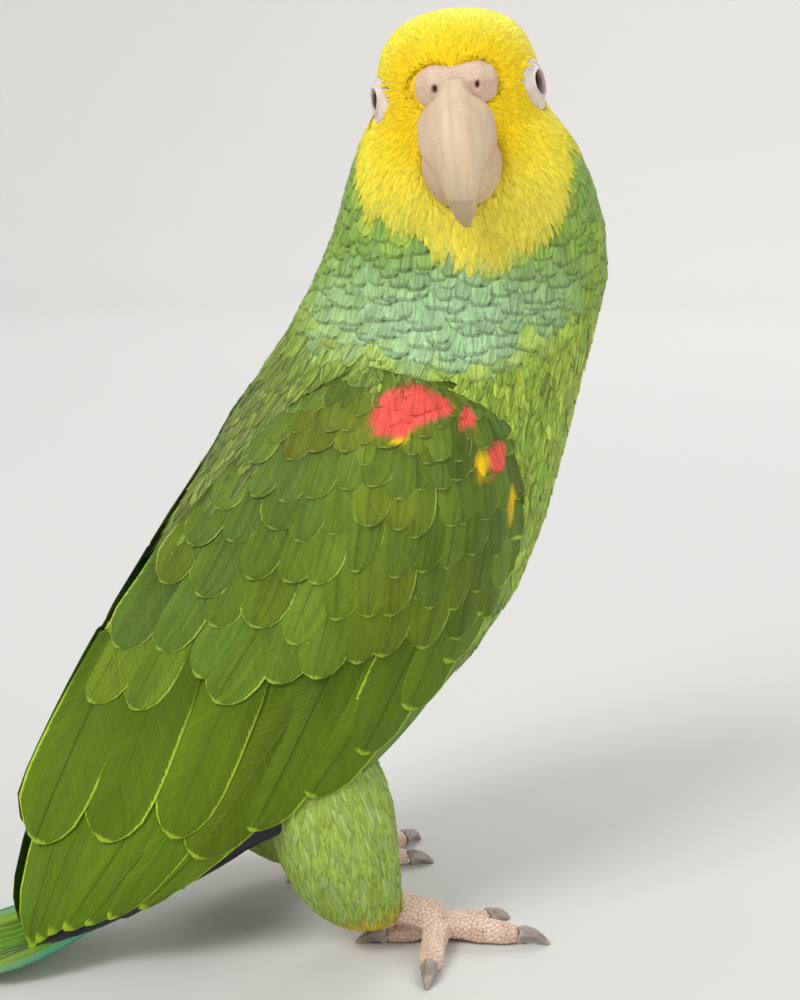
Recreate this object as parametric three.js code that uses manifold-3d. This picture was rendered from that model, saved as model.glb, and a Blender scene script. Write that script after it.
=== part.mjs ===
// A life-size yellow-headed amazon parrot standing at rest, its head turned to its right.
// Millimetres, +Z up. The body is laid out facing +X with its left side to +Y, its midline on
// Y = 0 and its feet on Z = 0, then turned a little and set over the origin at the end.
import * as THREE from "three";
import { mergeVertices } from "three/addons/utils/BufferGeometryUtils.js";
import Module from "manifold-3d";

const wasm = await Module();
wasm.setup();

// ---- driving dimensions -------------------------------------------------------------------
const GAP = 0.35; // clear gap between neighbouring pieces
const RAD = Math.PI / 180;
const TURN = 20; // the whole bird is turned this far to its left

// Trunk and neck as level slices: height, back, front, half width, sideways shift of the middle.
const TORSO = [
  { z: 240, back: 2, front: 22, half: 10, shift: -13 },
  { z: 231, back: -8, front: 33, half: 21, shift: -13 },
  { z: 222, back: -13, front: 42, half: 27, shift: -12 },
  { z: 212, back: -16, front: 48.5, half: 31, shift: -10 },
  { z: 202, back: -18, front: 54, half: 33.5, shift: -7 },
  { z: 190, back: -20.5, front: 58.5, half: 35, shift: -3 },
  { z: 178, back: -26, front: 59, half: 36, shift: -1 },
  { z: 164, back: -34, front: 55.5, half: 37, shift: 0 },
  { z: 149, back: -45, front: 51.5, half: 38, shift: 0 },
  { z: 134, back: -55, front: 47.5, half: 39.5, shift: 0 },
  { z: 118, back: -65, front: 43, half: 40, shift: 0 },
  { z: 102, back: -73, front: 38, half: 39.5, shift: 0 },
  { z: 86, back: -79, front: 28, half: 37, shift: 0 },
  { z: 70, back: -81, front: 15, half: 32, shift: 0 },
  { z: 57, back: -77, front: -1, half: 25, shift: 0 },
  { z: 47, back: -70, front: -19, half: 16, shift: 0 },
  { z: 42, back: -62, front: -32, half: 8, shift: 0 },
];
const NECK_CUT = { x: 10, z: 172, lean: 14 }; // neck from trunk: height at x, front edge lower
const HEAD_CUT = -25; // head from neck, in the head's own frame

// Head: where its middle is, how it is turned, and level slices in its own frame.
const HEAD = { x: 11.9, y: -14, z: 228, yaw: -115, pitch: 0, roll: 6.3 };
const SKULL = [
  { z: 25.4, mid: -3, long: 3, half: 3 },
  { z: 24.2, mid: -2.8, long: 10.5, half: 10 },
  { z: 20.8, mid: -2.2, long: 18.5, half: 16.4 },
  { z: 15, mid: -1.4, long: 23.2, half: 20.2 },
  { z: 8, mid: -0.6, long: 25.4, half: 21.8 },
  { z: 0, mid: -0.5, long: 26.2, half: 22.4 },
  { z: -9, mid: -1.2, long: 26.4, half: 24 },
  { z: -18, mid: -2.6, long: 26, half: 26.4 },
  { z: -27, mid: -5, long: 24.4, half: 27 },
  { z: -36, mid: -8, long: 19, half: 21 },
];
const EYE = { x: 8, side: 17.2, z: 3.6, radius: 6.2 };
const EYE_RING = { long: 9.6, tall: 7.8, deep: 2.4, side: 20 };

// Upper bill: its ridge is an arc in the head's middle plane; stations run from root to tip.
const BILL_ARC = { x: 20, z: -12, radius: 20.5, start: 62, end: -70 };
const BILL = [
  { half: 4.6, deep: 9 },
  { half: 8.4, deep: 15 },
  { half: 10, deep: 19 },
  { half: 10.3, deep: 20 },
  { half: 8.8, deep: 18 },
  { half: 5.8, deep: 14.5 },
  { half: 4.3, deep: 10 },
  { half: 3, deep: 5.5 },
  { half: 0.8, deep: 1.6 },
];
const JAW = { x: 15.5, z: -14.6, long: 17, half: 10.4, deep: 12.6, back: 9 };
const CERE = { x: 18.5, z: 4.6, half: 6.2, tall: 6.3, thick: 8.8, side: 4.7 };
const NOSTRIL = { long: 2.4, half: 0.6, tall: 1.1, side: 5.3, z: 5.2 };

// Folded wing: its upper edge over the back and its lower, leading edge, from wrist to tip.
// The second number counts outwards from the body's midline.
const WING_TOP = [
  [-20, 28, 162],
  [-37, 21, 151],
  [-53, 12, 133],
  [-70, 6, 112],
  [-86, 3.4, 88],
  [-99, 2.6, 66],
  [-107.5, 2.6, 48],
  [-113, 3, 31],
  [-115.5, 4, 16.5],
  [-112, 8, 6],
];
const WING_LOW = [
  [-2, 36, 157],
  [14, 36, 147],
  [21.5, 34, 126],
  [20, 31.5, 103],
  [11.5, 32, 83],
  [-5, 35, 63],
  [-28.5, 35, 44],
  [-56, 31.5, 32],
  [-82, 24, 17],
  [-107, 13.5, 4],
];
const WING_BULGE = 27; // how far the middle of the wing stands out past its edges
const WING_ROOM = { deep: 6.4, over: 4, aside: 20, beyond: 0.07 }; // kept clear of the trunk

// Layers of wing feathers. start and end are shares of the wing's length, each given along its
// upper and its lower edge; bend shapes the line between. deep is how far the layer lies below
// the wing's surface where it starts and where it ends, thick likewise.
const LAYERS = {
  coverts: {
    start: [0.004, 0.004], end: [0.5, 0.37], bend: 0.8, deep: [0, 0], thick: [5, 1.2],
    feathers: 7, scallop: 0.03, from: 0, to: 1, rows: 5,
  },
  secondaries: {
    start: [0.42, 0.3], end: [0.985, 0.57], bend: 0.42, deep: [2.2, 0.4], thick: [1.2, 1.1],
    feathers: 7, scallop: 0.035, from: 0.01, to: 0.99, rows: 3,
  },
  primaries: {
    start: [0.66, 0.5], end: [1, 0.95], bend: 1, deep: [4, 2.4], thick: [1.1, 1.1],
    feathers: 5, scallop: 0.02, from: 0.55, to: 1, rows: 2,
  },
};
const RELIEF = 0.5; // how deep the valleys between feathers are

// Tail: the curve of its upper side in the middle plane, and its feathers.
const TAIL_LINE = [
  [-50, 62],
  [-70, 22],
  [-85, -4],
  [-156, 2.4],
];
const TAIL = {
  feathers: 7, root: 10, wide: 22, thick: 1.5, valley: 0.4, rounding: 0.16, scallop: 0.02, droop: 4,
};
const TAIL_COVERTS = { reach: 0.52, half: 24, deep: 20, endHalf: 9, endDeep: 2.6 };

// Legs: the thigh's middle line and the foot's hub, counted outwards from the midline.
const LEGS = {
  right: { side: -1, shift: 0, out: 26.5, hub: [0.5, 29] },
  left: { side: 1, shift: -5, out: 26.5, hub: [-5, 29.5] },
};
const THIGH = [
  { z: 60, x: -34, long: 14, half: 7 },
  { z: 51, x: -32, long: 17.5, half: 10.5 },
  { z: 40, x: -29.6, long: 18, half: 14.6 },
  { z: 29, x: -27.6, long: 17, half: 15.6 },
  { z: 19, x: -24.8, long: 15, half: 13.8 },
  { z: 11.5, x: -21.6, long: 12, half: 11 },
  { z: 7.4, x: -19.4, long: 7.6, half: 7 },
  { z: 6.6, x: -18.6, long: 3, half: 3 },
];
const SHANK = { back: -20, radius: 4.9, high: 11.5, low: 6.6 };

// Toes as the bearing from straight ahead, outwards positive, with length and root radius.
const SOLE = 1.3; // depth taken off under each toe for its flat
const TOES = [
  { digit: 1, bearing: -166, long: 14, radius: 3.3, claw: 8.5 },
  { digit: 2, bearing: -14, long: 17, radius: 3.7, claw: 8 },
  { digit: 3, bearing: 27, long: 22.5, radius: 4.1, claw: 8.5 },
  { digit: 4, bearing: 116, long: 23, radius: 4.1, claw: 9 },
];
const CLAW_RADIUS = 2.1;

// ---- colours ------------------------------------------------------------------------------
const paint = (color, roughness) =>
  new THREE.MeshStandardMaterial({ color, roughness, metalness: 0 });
const FINISH = {
  yellow: paint(0xf2d51c, 0.75),
  aqua: paint(0x86b87c, 0.75),
  green: paint(0x6f9433, 0.7),
  wing: paint(0x5e8423, 0.6),
  quill: paint(0x3c3f3a, 0.55),
  tail: paint(0x5fa02a, 0.6),
  horn: paint(0xddc9a8, 0.45),
  cere: paint(0xd9bfae, 0.6),
  lid: paint(0xe8dcd4, 0.7),
  eye: paint(0x1c0f08, 0.1),
  scale: paint(0xd6bfa6, 0.7),
  claw: paint(0x8c8078, 0.5),
};

// ---- shape tools --------------------------------------------------------------------------
const { lerp, clamp, smoothstep } = THREE.MathUtils;
const vec = (x, y, z) => new THREE.Vector3(x, y, z);

// A smooth value of one field of a table of stations, t from 0 to 1 along it.
function field(table, key, t) {
  const place = clamp(t, 0, 1) * (table.length - 1);
  const i = Math.min(Math.floor(place), table.length - 2);
  const u = place - i;
  const at = (k) => table[clamp(k, 0, table.length - 1)][key];
  const [a, b, c, d] = [at(i - 1), at(i), at(i + 1), at(i + 2)];
  const cubic = -a + 3 * b - 3 * c + d;
  return b + 0.5 * u * (c - a + u * (2 * a - 5 * b + 4 * c - d + u * cubic));
}

function signedVolume(corners, faces) {
  const [a, b, c] = [vec(), vec(), vec()];
  let sum = 0;
  for (let i = 0; i < faces.length; i += 3) {
    a.fromBufferAttribute(corners, faces[i]);
    b.fromBufferAttribute(corners, faces[i + 1]);
    c.fromBufferAttribute(corners, faces[i + 2]);
    sum += a.dot(b.cross(c));
  }
  return sum;
}

// A geometry as a solid with its faces pointing out.
function solid(geometry, matrix) {
  const shape = geometry.clone();
  shape.deleteAttribute("normal");
  shape.deleteAttribute("uv");
  if (matrix) shape.applyMatrix4(matrix);
  const merged = mergeVertices(shape, 1e-4);
  const corners = merged.attributes.position;
  const faces = new Uint32Array(merged.index.array);
  if (signedVolume(corners, faces) < 0) {
    for (let i = 0; i < faces.length; i += 3)
      [faces[i + 1], faces[i + 2]] = [faces[i + 2], faces[i + 1]];
  }
  return new wasm.Manifold(
    new wasm.Mesh({ numProp: 3, vertProperties: corners.array, triVerts: faces }),
  );
}

function geometryOf(made) {
  const mesh = made.getMesh();
  const corners = new Float32Array(mesh.numVert * 3);
  for (let i = 0; i < mesh.numVert; i++)
    corners.set(mesh.vertProperties.subarray(i * mesh.numProp, i * mesh.numProp + 3), i * 3);
  return new THREE.BufferGeometry()
    .setAttribute("position", new THREE.BufferAttribute(corners, 3))
    .setIndex(new THREE.BufferAttribute(mesh.triVerts, 1));
}

// A closed mesh over rings of equally many points, with a fan over each end.
function loft(rings) {
  const around = rings[0].length;
  const points = rings.flat();
  for (const ring of [rings[0], rings.at(-1)])
    points.push(ring.reduce((sum, p) => sum.add(p), vec()).divideScalar(around));
  const faces = [];
  for (let i = 0; i < rings.length - 1; i++) {
    for (let j = 0; j < around; j++) {
      const a = i * around + j;
      const b = i * around + ((j + 1) % around);
      faces.push(a, b, b + around, a, b + around, a + around);
    }
  }
  const last = (rings.length - 1) * around;
  for (let j = 0; j < around; j++) {
    const k = (j + 1) % around;
    faces.push(points.length - 2, k, j);
    faces.push(points.length - 1, last + j, last + k);
  }
  return new THREE.BufferGeometry().setFromPoints(points).setIndex(faces);
}

// A closed slab between two grids of points, grid[row][column].
function slab(outer, inner) {
  const rows = outer.length;
  const columns = outer[0].length;
  const points = [...outer.flat(), ...inner.flat()];
  const faces = [];
  const quad = (a, b, c, d) => faces.push(a, b, c, a, c, d);
  const top = (i, j) => i * columns + j;
  const under = (i, j) => rows * columns + top(i, j);
  for (let i = 0; i < rows - 1; i++) {
    for (let j = 0; j < columns - 1; j++) {
      quad(top(i, j), top(i, j + 1), top(i + 1, j + 1), top(i + 1, j));
      quad(under(i, j), under(i + 1, j), under(i + 1, j + 1), under(i, j + 1));
    }
    quad(top(i, 0), top(i + 1, 0), under(i + 1, 0), under(i, 0));
    const j = columns - 1;
    quad(top(i + 1, j), top(i, j), under(i, j), under(i + 1, j));
  }
  for (let j = 0; j < columns - 1; j++) {
    quad(top(0, j + 1), top(0, j), under(0, j), under(0, j + 1));
    const i = rows - 1;
    quad(top(i, j), top(i, j + 1), under(i, j + 1), under(i, j));
  }
  return new THREE.BufferGeometry().setFromPoints(points).setIndex(faces);
}

// A level ellipse about (x, y, z).
const slice = (x, y, z, long, half, count) =>
  Array.from({ length: count }, (_, k) => {
    const turn = (2 * Math.PI * k) / count;
    return vec(x + long * Math.cos(turn), y + half * Math.sin(turn), z);
  });

// A round horn along a path; radius(t) is its thickness.
function horn(path, radius, steps, sides) {
  const rings = [];
  for (let i = 0; i <= steps; i++) {
    const t = i / steps;
    const middle = path.getPoint(t);
    const ahead = path.getTangent(t);
    const across = vec(0, 0, 1).cross(ahead).normalize();
    const over = ahead.cross(across);
    const ring = [];
    for (let k = 0; k < sides; k++) {
      const turn = (2 * Math.PI * (k + 0.5)) / sides;
      const point = middle.clone().addScaledVector(across, radius(t) * Math.cos(turn));
      ring.push(point.addScaledVector(over, radius(t) * Math.sin(turn)));
    }
    rings.push(ring);
  }
  return solid(loft(rings));
}

// A ball stretched to the given half sizes.
function ball(x, y, z, long, half, tall, detail, matrix) {
  const shape = new THREE.SphereGeometry(1, detail, Math.round(detail * 0.6));
  shape.scale(long, half, tall);
  shape.translate(x, y, z);
  return solid(shape, matrix);
}

const join = (list) => list.reduce((a, b) => a.add(b));

// The part of a solid beyond a plane, less half a gap.
const beyond = (made, normal, point) =>
  made.trimByPlane(normal.toArray(), normal.dot(point) + GAP / 2);

// The largest body of a solid, without crumbs that a cut has left.
const largest = (made) => made.decompose().reduce((a, b) => (a.volume() > b.volume() ? a : b));

// ---- trunk, neck and head -----------------------------------------------------------------
function torso(grow = 0) {
  const steps = 14;
  const rings = [];
  for (let i = 0; i <= steps; i++) {
    const t = i / steps;
    const at = (key) => field(TORSO, key, t);
    const long = (at("front") - at("back")) / 2 + grow;
    const middle = (at("front") + at("back")) / 2;
    const z = at("z") + (i === steps ? -grow : 0);
    rings.push(slice(middle, at("shift"), z, long, at("half") + grow, 16));
  }
  return solid(loft(rings));
}

const headFrame = new THREE.Matrix4().compose(
  vec(HEAD.x, HEAD.y, HEAD.z),
  new THREE.Quaternion().setFromEuler(
    new THREE.Euler(HEAD.roll * RAD, HEAD.pitch * RAD, HEAD.yaw * RAD, "ZYX"),
  ),
  vec(1, 1, 1),
);

function skull() {
  const steps = 10;
  const rings = [];
  for (let i = 0; i <= steps; i++) {
    const at = (key) => field(SKULL, key, i / steps);
    rings.push(slice(at("mid"), 0, at("z"), at("long"), at("half"), 16));
  }
  return solid(loft(rings), headFrame);
}

const eyeball = (side, grow = 0) => {
  const r = EYE.radius + grow;
  return ball(EYE.x, side * EYE.side, EYE.z, r, r, r, 9, headFrame);
};

// The bare skin round the eye: a flat lens set into the side of the head.
const eyeRing = (side, grow = 0) => {
  const { long, tall, deep, side: out } = EYE_RING;
  return ball(EYE.x, side * out, EYE.z, long + grow, deep + grow, tall + grow, 9, headFrame);
};

function upperBill(grow = 0) {
  const steps = 10;
  const sides = 10;
  const rings = [];
  for (let i = 0; i <= steps; i++) {
    const t = i / steps;
    const turn = lerp(BILL_ARC.start, BILL_ARC.end, t) * RAD;
    const half = field(BILL, "half", t) + grow;
    const deep = field(BILL, "deep", t) + 2 * grow;
    const outward = vec(Math.cos(turn), 0, Math.sin(turn));
    const ridge = vec(BILL_ARC.x, 0, BILL_ARC.z);
    ridge.addScaledVector(outward, BILL_ARC.radius + grow);
    const ring = [];
    for (let k = 0; k < sides; k++) {
      const around = (2 * Math.PI * (k + 0.5)) / sides;
      const depth = (deep * (1 - Math.cos(around))) / 2;
      const point = ridge.clone().addScaledVector(outward, -depth);
      ring.push(point.setY(half * Math.sin(around)));
    }
    rings.push(ring);
  }
  return solid(loft(rings), headFrame);
}

// Lower bill: a blunt scoop that closes up behind the hook of the upper bill.
function lowerBill(grow = 0) {
  const { x, z, long, half, deep, back } = JAW;
  const scoop = ball(x, 0, z, long + grow, half + grow, deep + grow, 10, headFrame);
  const ahead = vec(1, 0, 0).transformDirection(headFrame);
  const root = vec(back - grow, 0, z).applyMatrix4(headFrame);
  return scoop.trimByPlane(ahead.toArray(), ahead.dot(root));
}

const cere = (grow = 0) =>
  join(
    [-1, 1].map((side) => {
      const { x, z, thick, half, tall } = CERE;
      const y = side * CERE.side;
      return ball(x, y, z, thick + grow, half + grow, tall + grow, 8, headFrame);
    }),
  );

const nostril = (side) => {
  const { long, half, tall } = NOSTRIL;
  const front = CERE.x + CERE.thick;
  return ball(front, side * NOSTRIL.side, NOSTRIL.z, long, half, tall, 6, headFrame);
};

// ---- wings --------------------------------------------------------------------------------
const edge = (points) => new THREE.CatmullRomCurve3(points.map((p) => vec(...p)));
const topEdge = edge(WING_TOP);
const lowEdge = edge(WING_LOW);

// A place on the wing: p along it from wrist to tip, q across it from the upper edge down.
function onWing(p, q) {
  const place = topEdge.getPoint(clamp(p, 0, 1)).lerp(lowEdge.getPoint(clamp(p, 0, 1)), q);
  const swell = (0.28 + 0.72 * smoothstep(p, 0, 0.28)) * (1 - 0.93 * smoothstep(p, 0.3, 1.02));
  place.y += WING_BULGE * swell * Math.sin(Math.PI * clamp(q, 0, 1)) ** 0.85;
  return place;
}

// The same place pushed inwards along the wing's normal, on the given side of the body.
function wingPoint(side, p, q, depth) {
  const step = 0.03;
  const along = onWing(p + step, q).sub(onWing(p - step, q));
  const [above, below] = [clamp(q - step, 0, 1), clamp(q + step, 0, 1)];
  const normal = onWing(p, below).sub(onWing(p, above)).cross(along).normalize();
  if (normal.y < 0) normal.negate();
  const place = onWing(p, q).addScaledVector(normal, -depth);
  place.y *= side;
  return place;
}

// One layer of feathers lying side by side, each a low ridge that ends in a round tip.
function wingLayer(side, layer) {
  const columns = layer.feathers * 3;
  const [outer, inner] = [[], []];
  for (let i = 0; i <= layer.rows; i++) {
    const t = i / layer.rows;
    const [over, under] = [[], []];
    for (let j = 0; j <= columns; j++) {
      const share = j / columns;
      const valley = 1 - Math.abs(Math.sin(Math.PI * layer.feathers * share));
      const bent = share ** (1 / layer.bend);
      const end = lerp(...layer.end, bent) - layer.scallop * valley;
      const p = lerp(lerp(...layer.start, bent), end, t);
      const rim = Math.min(1, 0.35 + 4 * Math.min(share, 1 - share));
      const wrist = 0.3 + 0.7 * smoothstep(p, 0, 0.08);
      const thick = lerp(...layer.thick, clamp(t * 1.3, 0, 1)) * rim * wrist;
      const depth = lerp(...layer.deep, smoothstep(t, 0, 0.6)) + RELIEF * valley * t;
      const q = lerp(layer.from, layer.to, share);
      over.push(wingPoint(side, p, q, depth));
      under.push(wingPoint(side, p, q, depth + Math.max(thick, 0.7)));
    }
    outer.push(over);
    inner.push(under);
  }
  return solid(slab(outer, inner));
}

// The space a wing takes up, reaching over and aside past it, kept clear by what lies under it.
function wingSpace(side, over, aside) {
  const [outer, inner] = [[], []];
  const [rows, columns] = [12, 9];
  const { beyond: past } = WING_ROOM;
  for (let i = 0; i <= rows; i++) {
    const p = i / rows;
    const across = Array.from({ length: columns + 1 }, (_, j) => lerp(-past, 1 + past, j / columns));
    const deep = WING_ROOM.deep * (0.35 + 0.65 * smoothstep(p, 0, 0.08));
    const shift = vec(0, side * aside, 0);
    outer.push(across.map((q) => wingPoint(side, p, q, -over).add(shift)));
    inner.push(across.map((q) => wingPoint(side, p, q, deep)));
  }
  return solid(slab(outer, inner));
}

// ---- tail ---------------------------------------------------------------------------------
const tailLine = new THREE.CubicBezierCurve(...TAIL_LINE.map((p) => new THREE.Vector2(...p)));

// A place on the tail: share of its length, sideways offset, depth below the upper side.
function onTail(t, y, depth) {
  const place = tailLine.getPoint(t);
  const slope = tailLine.getTangent(t);
  return vec(place.x + slope.y * -depth, y, place.y + slope.x * depth);
}

// The tail feathers side by side, each a low ridge with a round tip.
function tailFan() {
  const { feathers, root, wide, thick, valley: low, rounding, scallop } = TAIL;
  const [columns, rows] = [feathers * 3, 4];
  const [outer, inner] = [[], []];
  for (let i = 0; i <= rows; i++) {
    const [over, under] = [[], []];
    for (let j = 0; j <= columns; j++) {
      const across = (2 * j) / columns - 1;
      const valley = 1 - Math.abs(Math.sin((Math.PI * feathers * j) / columns));
      const end = 1 - rounding * Math.abs(across) ** 1.8 - scallop * valley;
      const t = (i / rows) * end;
      const y = across * lerp(root, wide, t);
      const depth = low * valley + TAIL.droop * (1 - t) * across ** 2;
      over.push(onTail(t, y, depth));
      under.push(onTail(t, y, depth + thick));
    }
    outer.push(over);
    inner.push(under);
  }
  return solid(slab(outer, inner));
}

// The coverts that wrap the root of the tail above and below.
function tailCoverts(grow = 0) {
  const { reach, half, deep, endHalf, endDeep } = TAIL_COVERTS;
  const steps = 6;
  const rings = [];
  for (let i = 0; i <= steps; i++) {
    const t = i / steps;
    const wide = lerp(half, endHalf, t ** 0.9) + grow;
    const tall = lerp(deep, endDeep, t ** 0.7) + grow;
    rings.push(
      Array.from({ length: 14 }, (_, k) => {
        const turn = (2 * Math.PI * k) / 14;
        return onTail(t * reach, wide * Math.cos(turn), 1.2 - tall * Math.sin(turn));
      }),
    );
  }
  return solid(loft(rings));
}

// ---- legs ---------------------------------------------------------------------------------
function thigh(leg, grow = 0) {
  const steps = 7;
  const rings = [];
  for (let i = 0; i <= steps; i++) {
    const at = (key) => field(THIGH, key, i / steps);
    const z = at("z") + (i === steps ? -grow : 0);
    const [x, y] = [at("x") + leg.shift, leg.side * leg.out];
    rings.push(slice(x, y, z, at("long") + grow, at("half") + grow, 10));
  }
  return solid(loft(rings));
}

// Points along one toe at the given distances from the hub and heights.
function toePath(leg, toe, stations) {
  const turn = leg.side * toe.bearing * RAD;
  const ahead = vec(Math.cos(turn), Math.sin(turn), 0);
  const hub = vec(leg.hub[0], leg.side * leg.hub[1], 0);
  return new THREE.CatmullRomCurve3(
    stations.map(([distance, z]) => hub.clone().addScaledVector(ahead, distance).setZ(z)),
  );
}

// A toe with a swelling at each joint.
function toeBody(leg, toe) {
  const { long, radius, digit } = toe;
  const low = radius - SOLE;
  const path = toePath(leg, toe, [
    [0, low + 1.5],
    [long * 0.35, low + 1.1],
    [long * 0.7, low + 0.2],
    [long, low - 0.2],
  ]);
  const size = (t) => {
    const swell = radius * (1 - 0.14 * t) + 0.3 * Math.cos(2 * Math.PI * (digit + 1) * t);
    return swell * Math.sqrt(1 - 0.62 * t ** 12);
  };
  return horn(path, size, 6, 6);
}

function clawBody(leg, toe) {
  const { long, radius, claw } = toe;
  const low = radius - SOLE;
  const path = toePath(leg, toe, [
    [long + 2.6 * GAP, low - 0.2],
    [long + claw * 0.35, low + 0.3],
    [long + claw * 0.7, low - 0.8],
    [long + claw, 0.1],
  ]);
  return horn(path, (t) => CLAW_RADIUS * (1 - t ** 1.4) + 0.35, 4, 5);
}

// The bare foot: the short shank from inside the thigh to the hub, and the four toes on it.
function foot(leg) {
  const [x, out] = leg.hub;
  const y = leg.side * out;
  const heel = vec(SHANK.back + leg.shift, leg.side * leg.out, SHANK.high);
  const path = new THREE.CatmullRomCurve3([
    heel,
    vec(lerp(heel.x, x, 0.55), lerp(heel.y, y, 0.5), SHANK.high - 1.5),
    vec(x - 2, y, SHANK.low),
    vec(x + 4, y, SHANK.low - 2),
  ]);
  const end = (t) => Math.sqrt(1 - 0.9 * Math.abs(2 * t - 1) ** 9);
  const bone = horn(path, (t) => SHANK.radius * end(t), 4, 6);
  return join([bone, ...TOES.map((toe) => toeBody(leg, toe))]);
}

// A body with copies of it shifted by the gap each way, to cut a neighbour clear of it.
function clearOf(made) {
  const shifts = [-GAP, GAP].flatMap((d) => [[d, 0, 0], [0, d, 0]]);
  return join([made, ...shifts.map((by) => made.translate(by))]);
}

// ---- assembly -----------------------------------------------------------------------------
const body = new THREE.Group();

function add(name, made, finish) {
  const mesh = new THREE.Mesh(geometryOf(largest(made.trimByPlane([0, 0, 1], 0))), finish);
  mesh.name = name;
  body.add(mesh);
}

const SIDES = { right: -1, left: 1 };
const layersOf = (side) => Object.values(LAYERS).map((each) => wingLayer(side, each));
const layers = join(Object.values(SIDES).flatMap(layersOf));
const wings = clearOf(layers);
const { over: roomOver, aside: roomAside } = WING_ROOM;
const wingRoom = wings.add(
  join(Object.values(SIDES).map((side) => wingSpace(side, roomOver, roomAside))),
);
const headUp = vec(0, 0, 1).transformDirection(headFrame);
const headFloor = vec(0, 0, HEAD_CUT).applyMatrix4(headFrame);
const neckUp = vec(Math.sin(NECK_CUT.lean * RAD), 0, Math.cos(NECK_CUT.lean * RAD));
const neckFloor = vec(NECK_CUT.x, 0, NECK_CUT.z);

// Head, neck and trunk are one form, parted by thin cuts.
const form = torso().add(skull());
const below = beyond(form, headUp.clone().negate(), headFloor);
let face = beyond(form, headUp, headFloor);
face = face.subtract(upperBill(GAP)).subtract(cere(GAP)).subtract(lowerBill(GAP));
for (const [name, side] of Object.entries(SIDES)) {
  face = face.subtract(eyeRing(side, GAP)).subtract(eyeball(side, GAP));
  add(`eye_ring_${name}`, eyeRing(side).subtract(eyeball(side, GAP)), FINISH.lid);
  add(`eye_${name}`, eyeball(side), FINISH.eye);
}
add("head", face, FINISH.yellow);
const neck = beyond(below, neckUp, neckFloor).subtract(wingRoom).subtract(lowerBill(GAP));
add("neck", neck.subtract(upperBill(GAP)), FINISH.aqua);
const trunk = beyond(below, neckUp.clone().negate(), neckFloor).subtract(wingRoom);
add("trunk", trunk, FINISH.green);

const nostrils = nostril(-1).add(nostril(1));
add("upper_bill", upperBill(), FINISH.horn);
add("cere", cere().subtract(upperBill(GAP)).subtract(nostrils), FINISH.cere);
add("lower_bill", lowerBill().subtract(upperBill(GAP)), FINISH.horn);

for (const [name, side] of Object.entries(SIDES)) {
  add(`wing_${name}_coverts`, wingLayer(side, LAYERS.coverts), FINISH.wing);
  add(`wing_${name}_secondaries`, wingLayer(side, LAYERS.secondaries), FINISH.wing);
  add(`wing_${name}_primaries`, wingLayer(side, LAYERS.primaries), FINISH.quill);
}
const rump = tailCoverts().subtract(torso(GAP)).subtract(wings);
add("tail_coverts", rump, FINISH.green);
const fan = tailFan().subtract(tailCoverts(GAP)).subtract(torso(GAP)).subtract(wings);
add("tail", fan, FINISH.tail);

for (const [name, leg] of Object.entries(LEGS)) {
  const drum = thigh(leg).subtract(torso(GAP)).subtract(wings).subtract(tailCoverts(GAP));
  add(`thigh_${name}`, drum, FINISH.green);
  add(`foot_${name}`, foot(leg).subtract(thigh(leg, GAP)), FINISH.scale);
  for (const toe of TOES) add(`claw_${name}_${toe.digit}`, clawBody(leg, toe), FINISH.claw);
}

// The bird is turned, and the middle of its box is set over the origin.
body.rotation.z = TURN * RAD;
body.updateMatrixWorld(true);
const box = new THREE.Box3().setFromObject(body, true);
body.position.set(-(box.min.x + box.max.x) / 2, -(box.min.y + box.max.y) / 2, -box.min.z);

const bird = new THREE.Group();
bird.add(body);
export default bird;
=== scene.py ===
"""A life-size yellow-headed amazon parrot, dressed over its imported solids.

One skin stands for the flesh, and solid feather vanes lie over it in tracts. The wing and tail
feathers lie on the wings' and the tail's own surfaces. Lengths are millimetres in the bird's own
layout, which faces +X with its left side to +Y, and are turned into the frame's metres at the end.
"""
import math

import bmesh
import bpy
import numpy as np
from mathutils import Euler, Matrix, Vector
from mathutils.bvhtree import BVHTree
from mathutils.kdtree import KDTree


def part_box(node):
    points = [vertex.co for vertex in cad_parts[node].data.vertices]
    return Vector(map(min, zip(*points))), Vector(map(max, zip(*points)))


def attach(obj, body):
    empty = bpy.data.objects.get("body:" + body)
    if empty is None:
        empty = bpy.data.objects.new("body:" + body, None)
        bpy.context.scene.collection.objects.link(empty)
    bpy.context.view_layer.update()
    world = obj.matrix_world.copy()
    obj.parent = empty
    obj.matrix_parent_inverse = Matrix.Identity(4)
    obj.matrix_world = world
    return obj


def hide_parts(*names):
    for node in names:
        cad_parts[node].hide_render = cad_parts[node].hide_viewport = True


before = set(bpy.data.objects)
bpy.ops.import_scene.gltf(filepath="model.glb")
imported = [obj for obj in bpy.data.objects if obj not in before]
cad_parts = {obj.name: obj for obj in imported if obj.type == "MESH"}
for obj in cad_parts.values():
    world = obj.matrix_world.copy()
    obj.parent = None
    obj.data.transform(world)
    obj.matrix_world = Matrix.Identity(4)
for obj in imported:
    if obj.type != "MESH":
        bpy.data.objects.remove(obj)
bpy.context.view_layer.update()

SEED = 4
TURN = math.radians(20)  # the bird is turned this far to its left
BIB_YAW = math.radians(-98)  # way the lowest point of the yellow bib faces
SIDES = (("right", -1), ("left", 1))
COAT = 1.7  # depth of the plumage over the body's skin
HEAD_COAT = 0.5  # the same over the head
BAKE_PATCH = 0.003  # width of a short feather's patch on the bake map
FLOOR_GAP = 2e-5  # metres that everything keeps over the floor

# Head: place and turn, and the eye, bill and cere in the head's own frame.
HEAD = {"place": (11.9, -14, 228), "yaw": -115, "roll": 6.3}
EYE = {"x": 8, "side": 17.1, "z": 3.6, "radius": 5.3}
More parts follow.
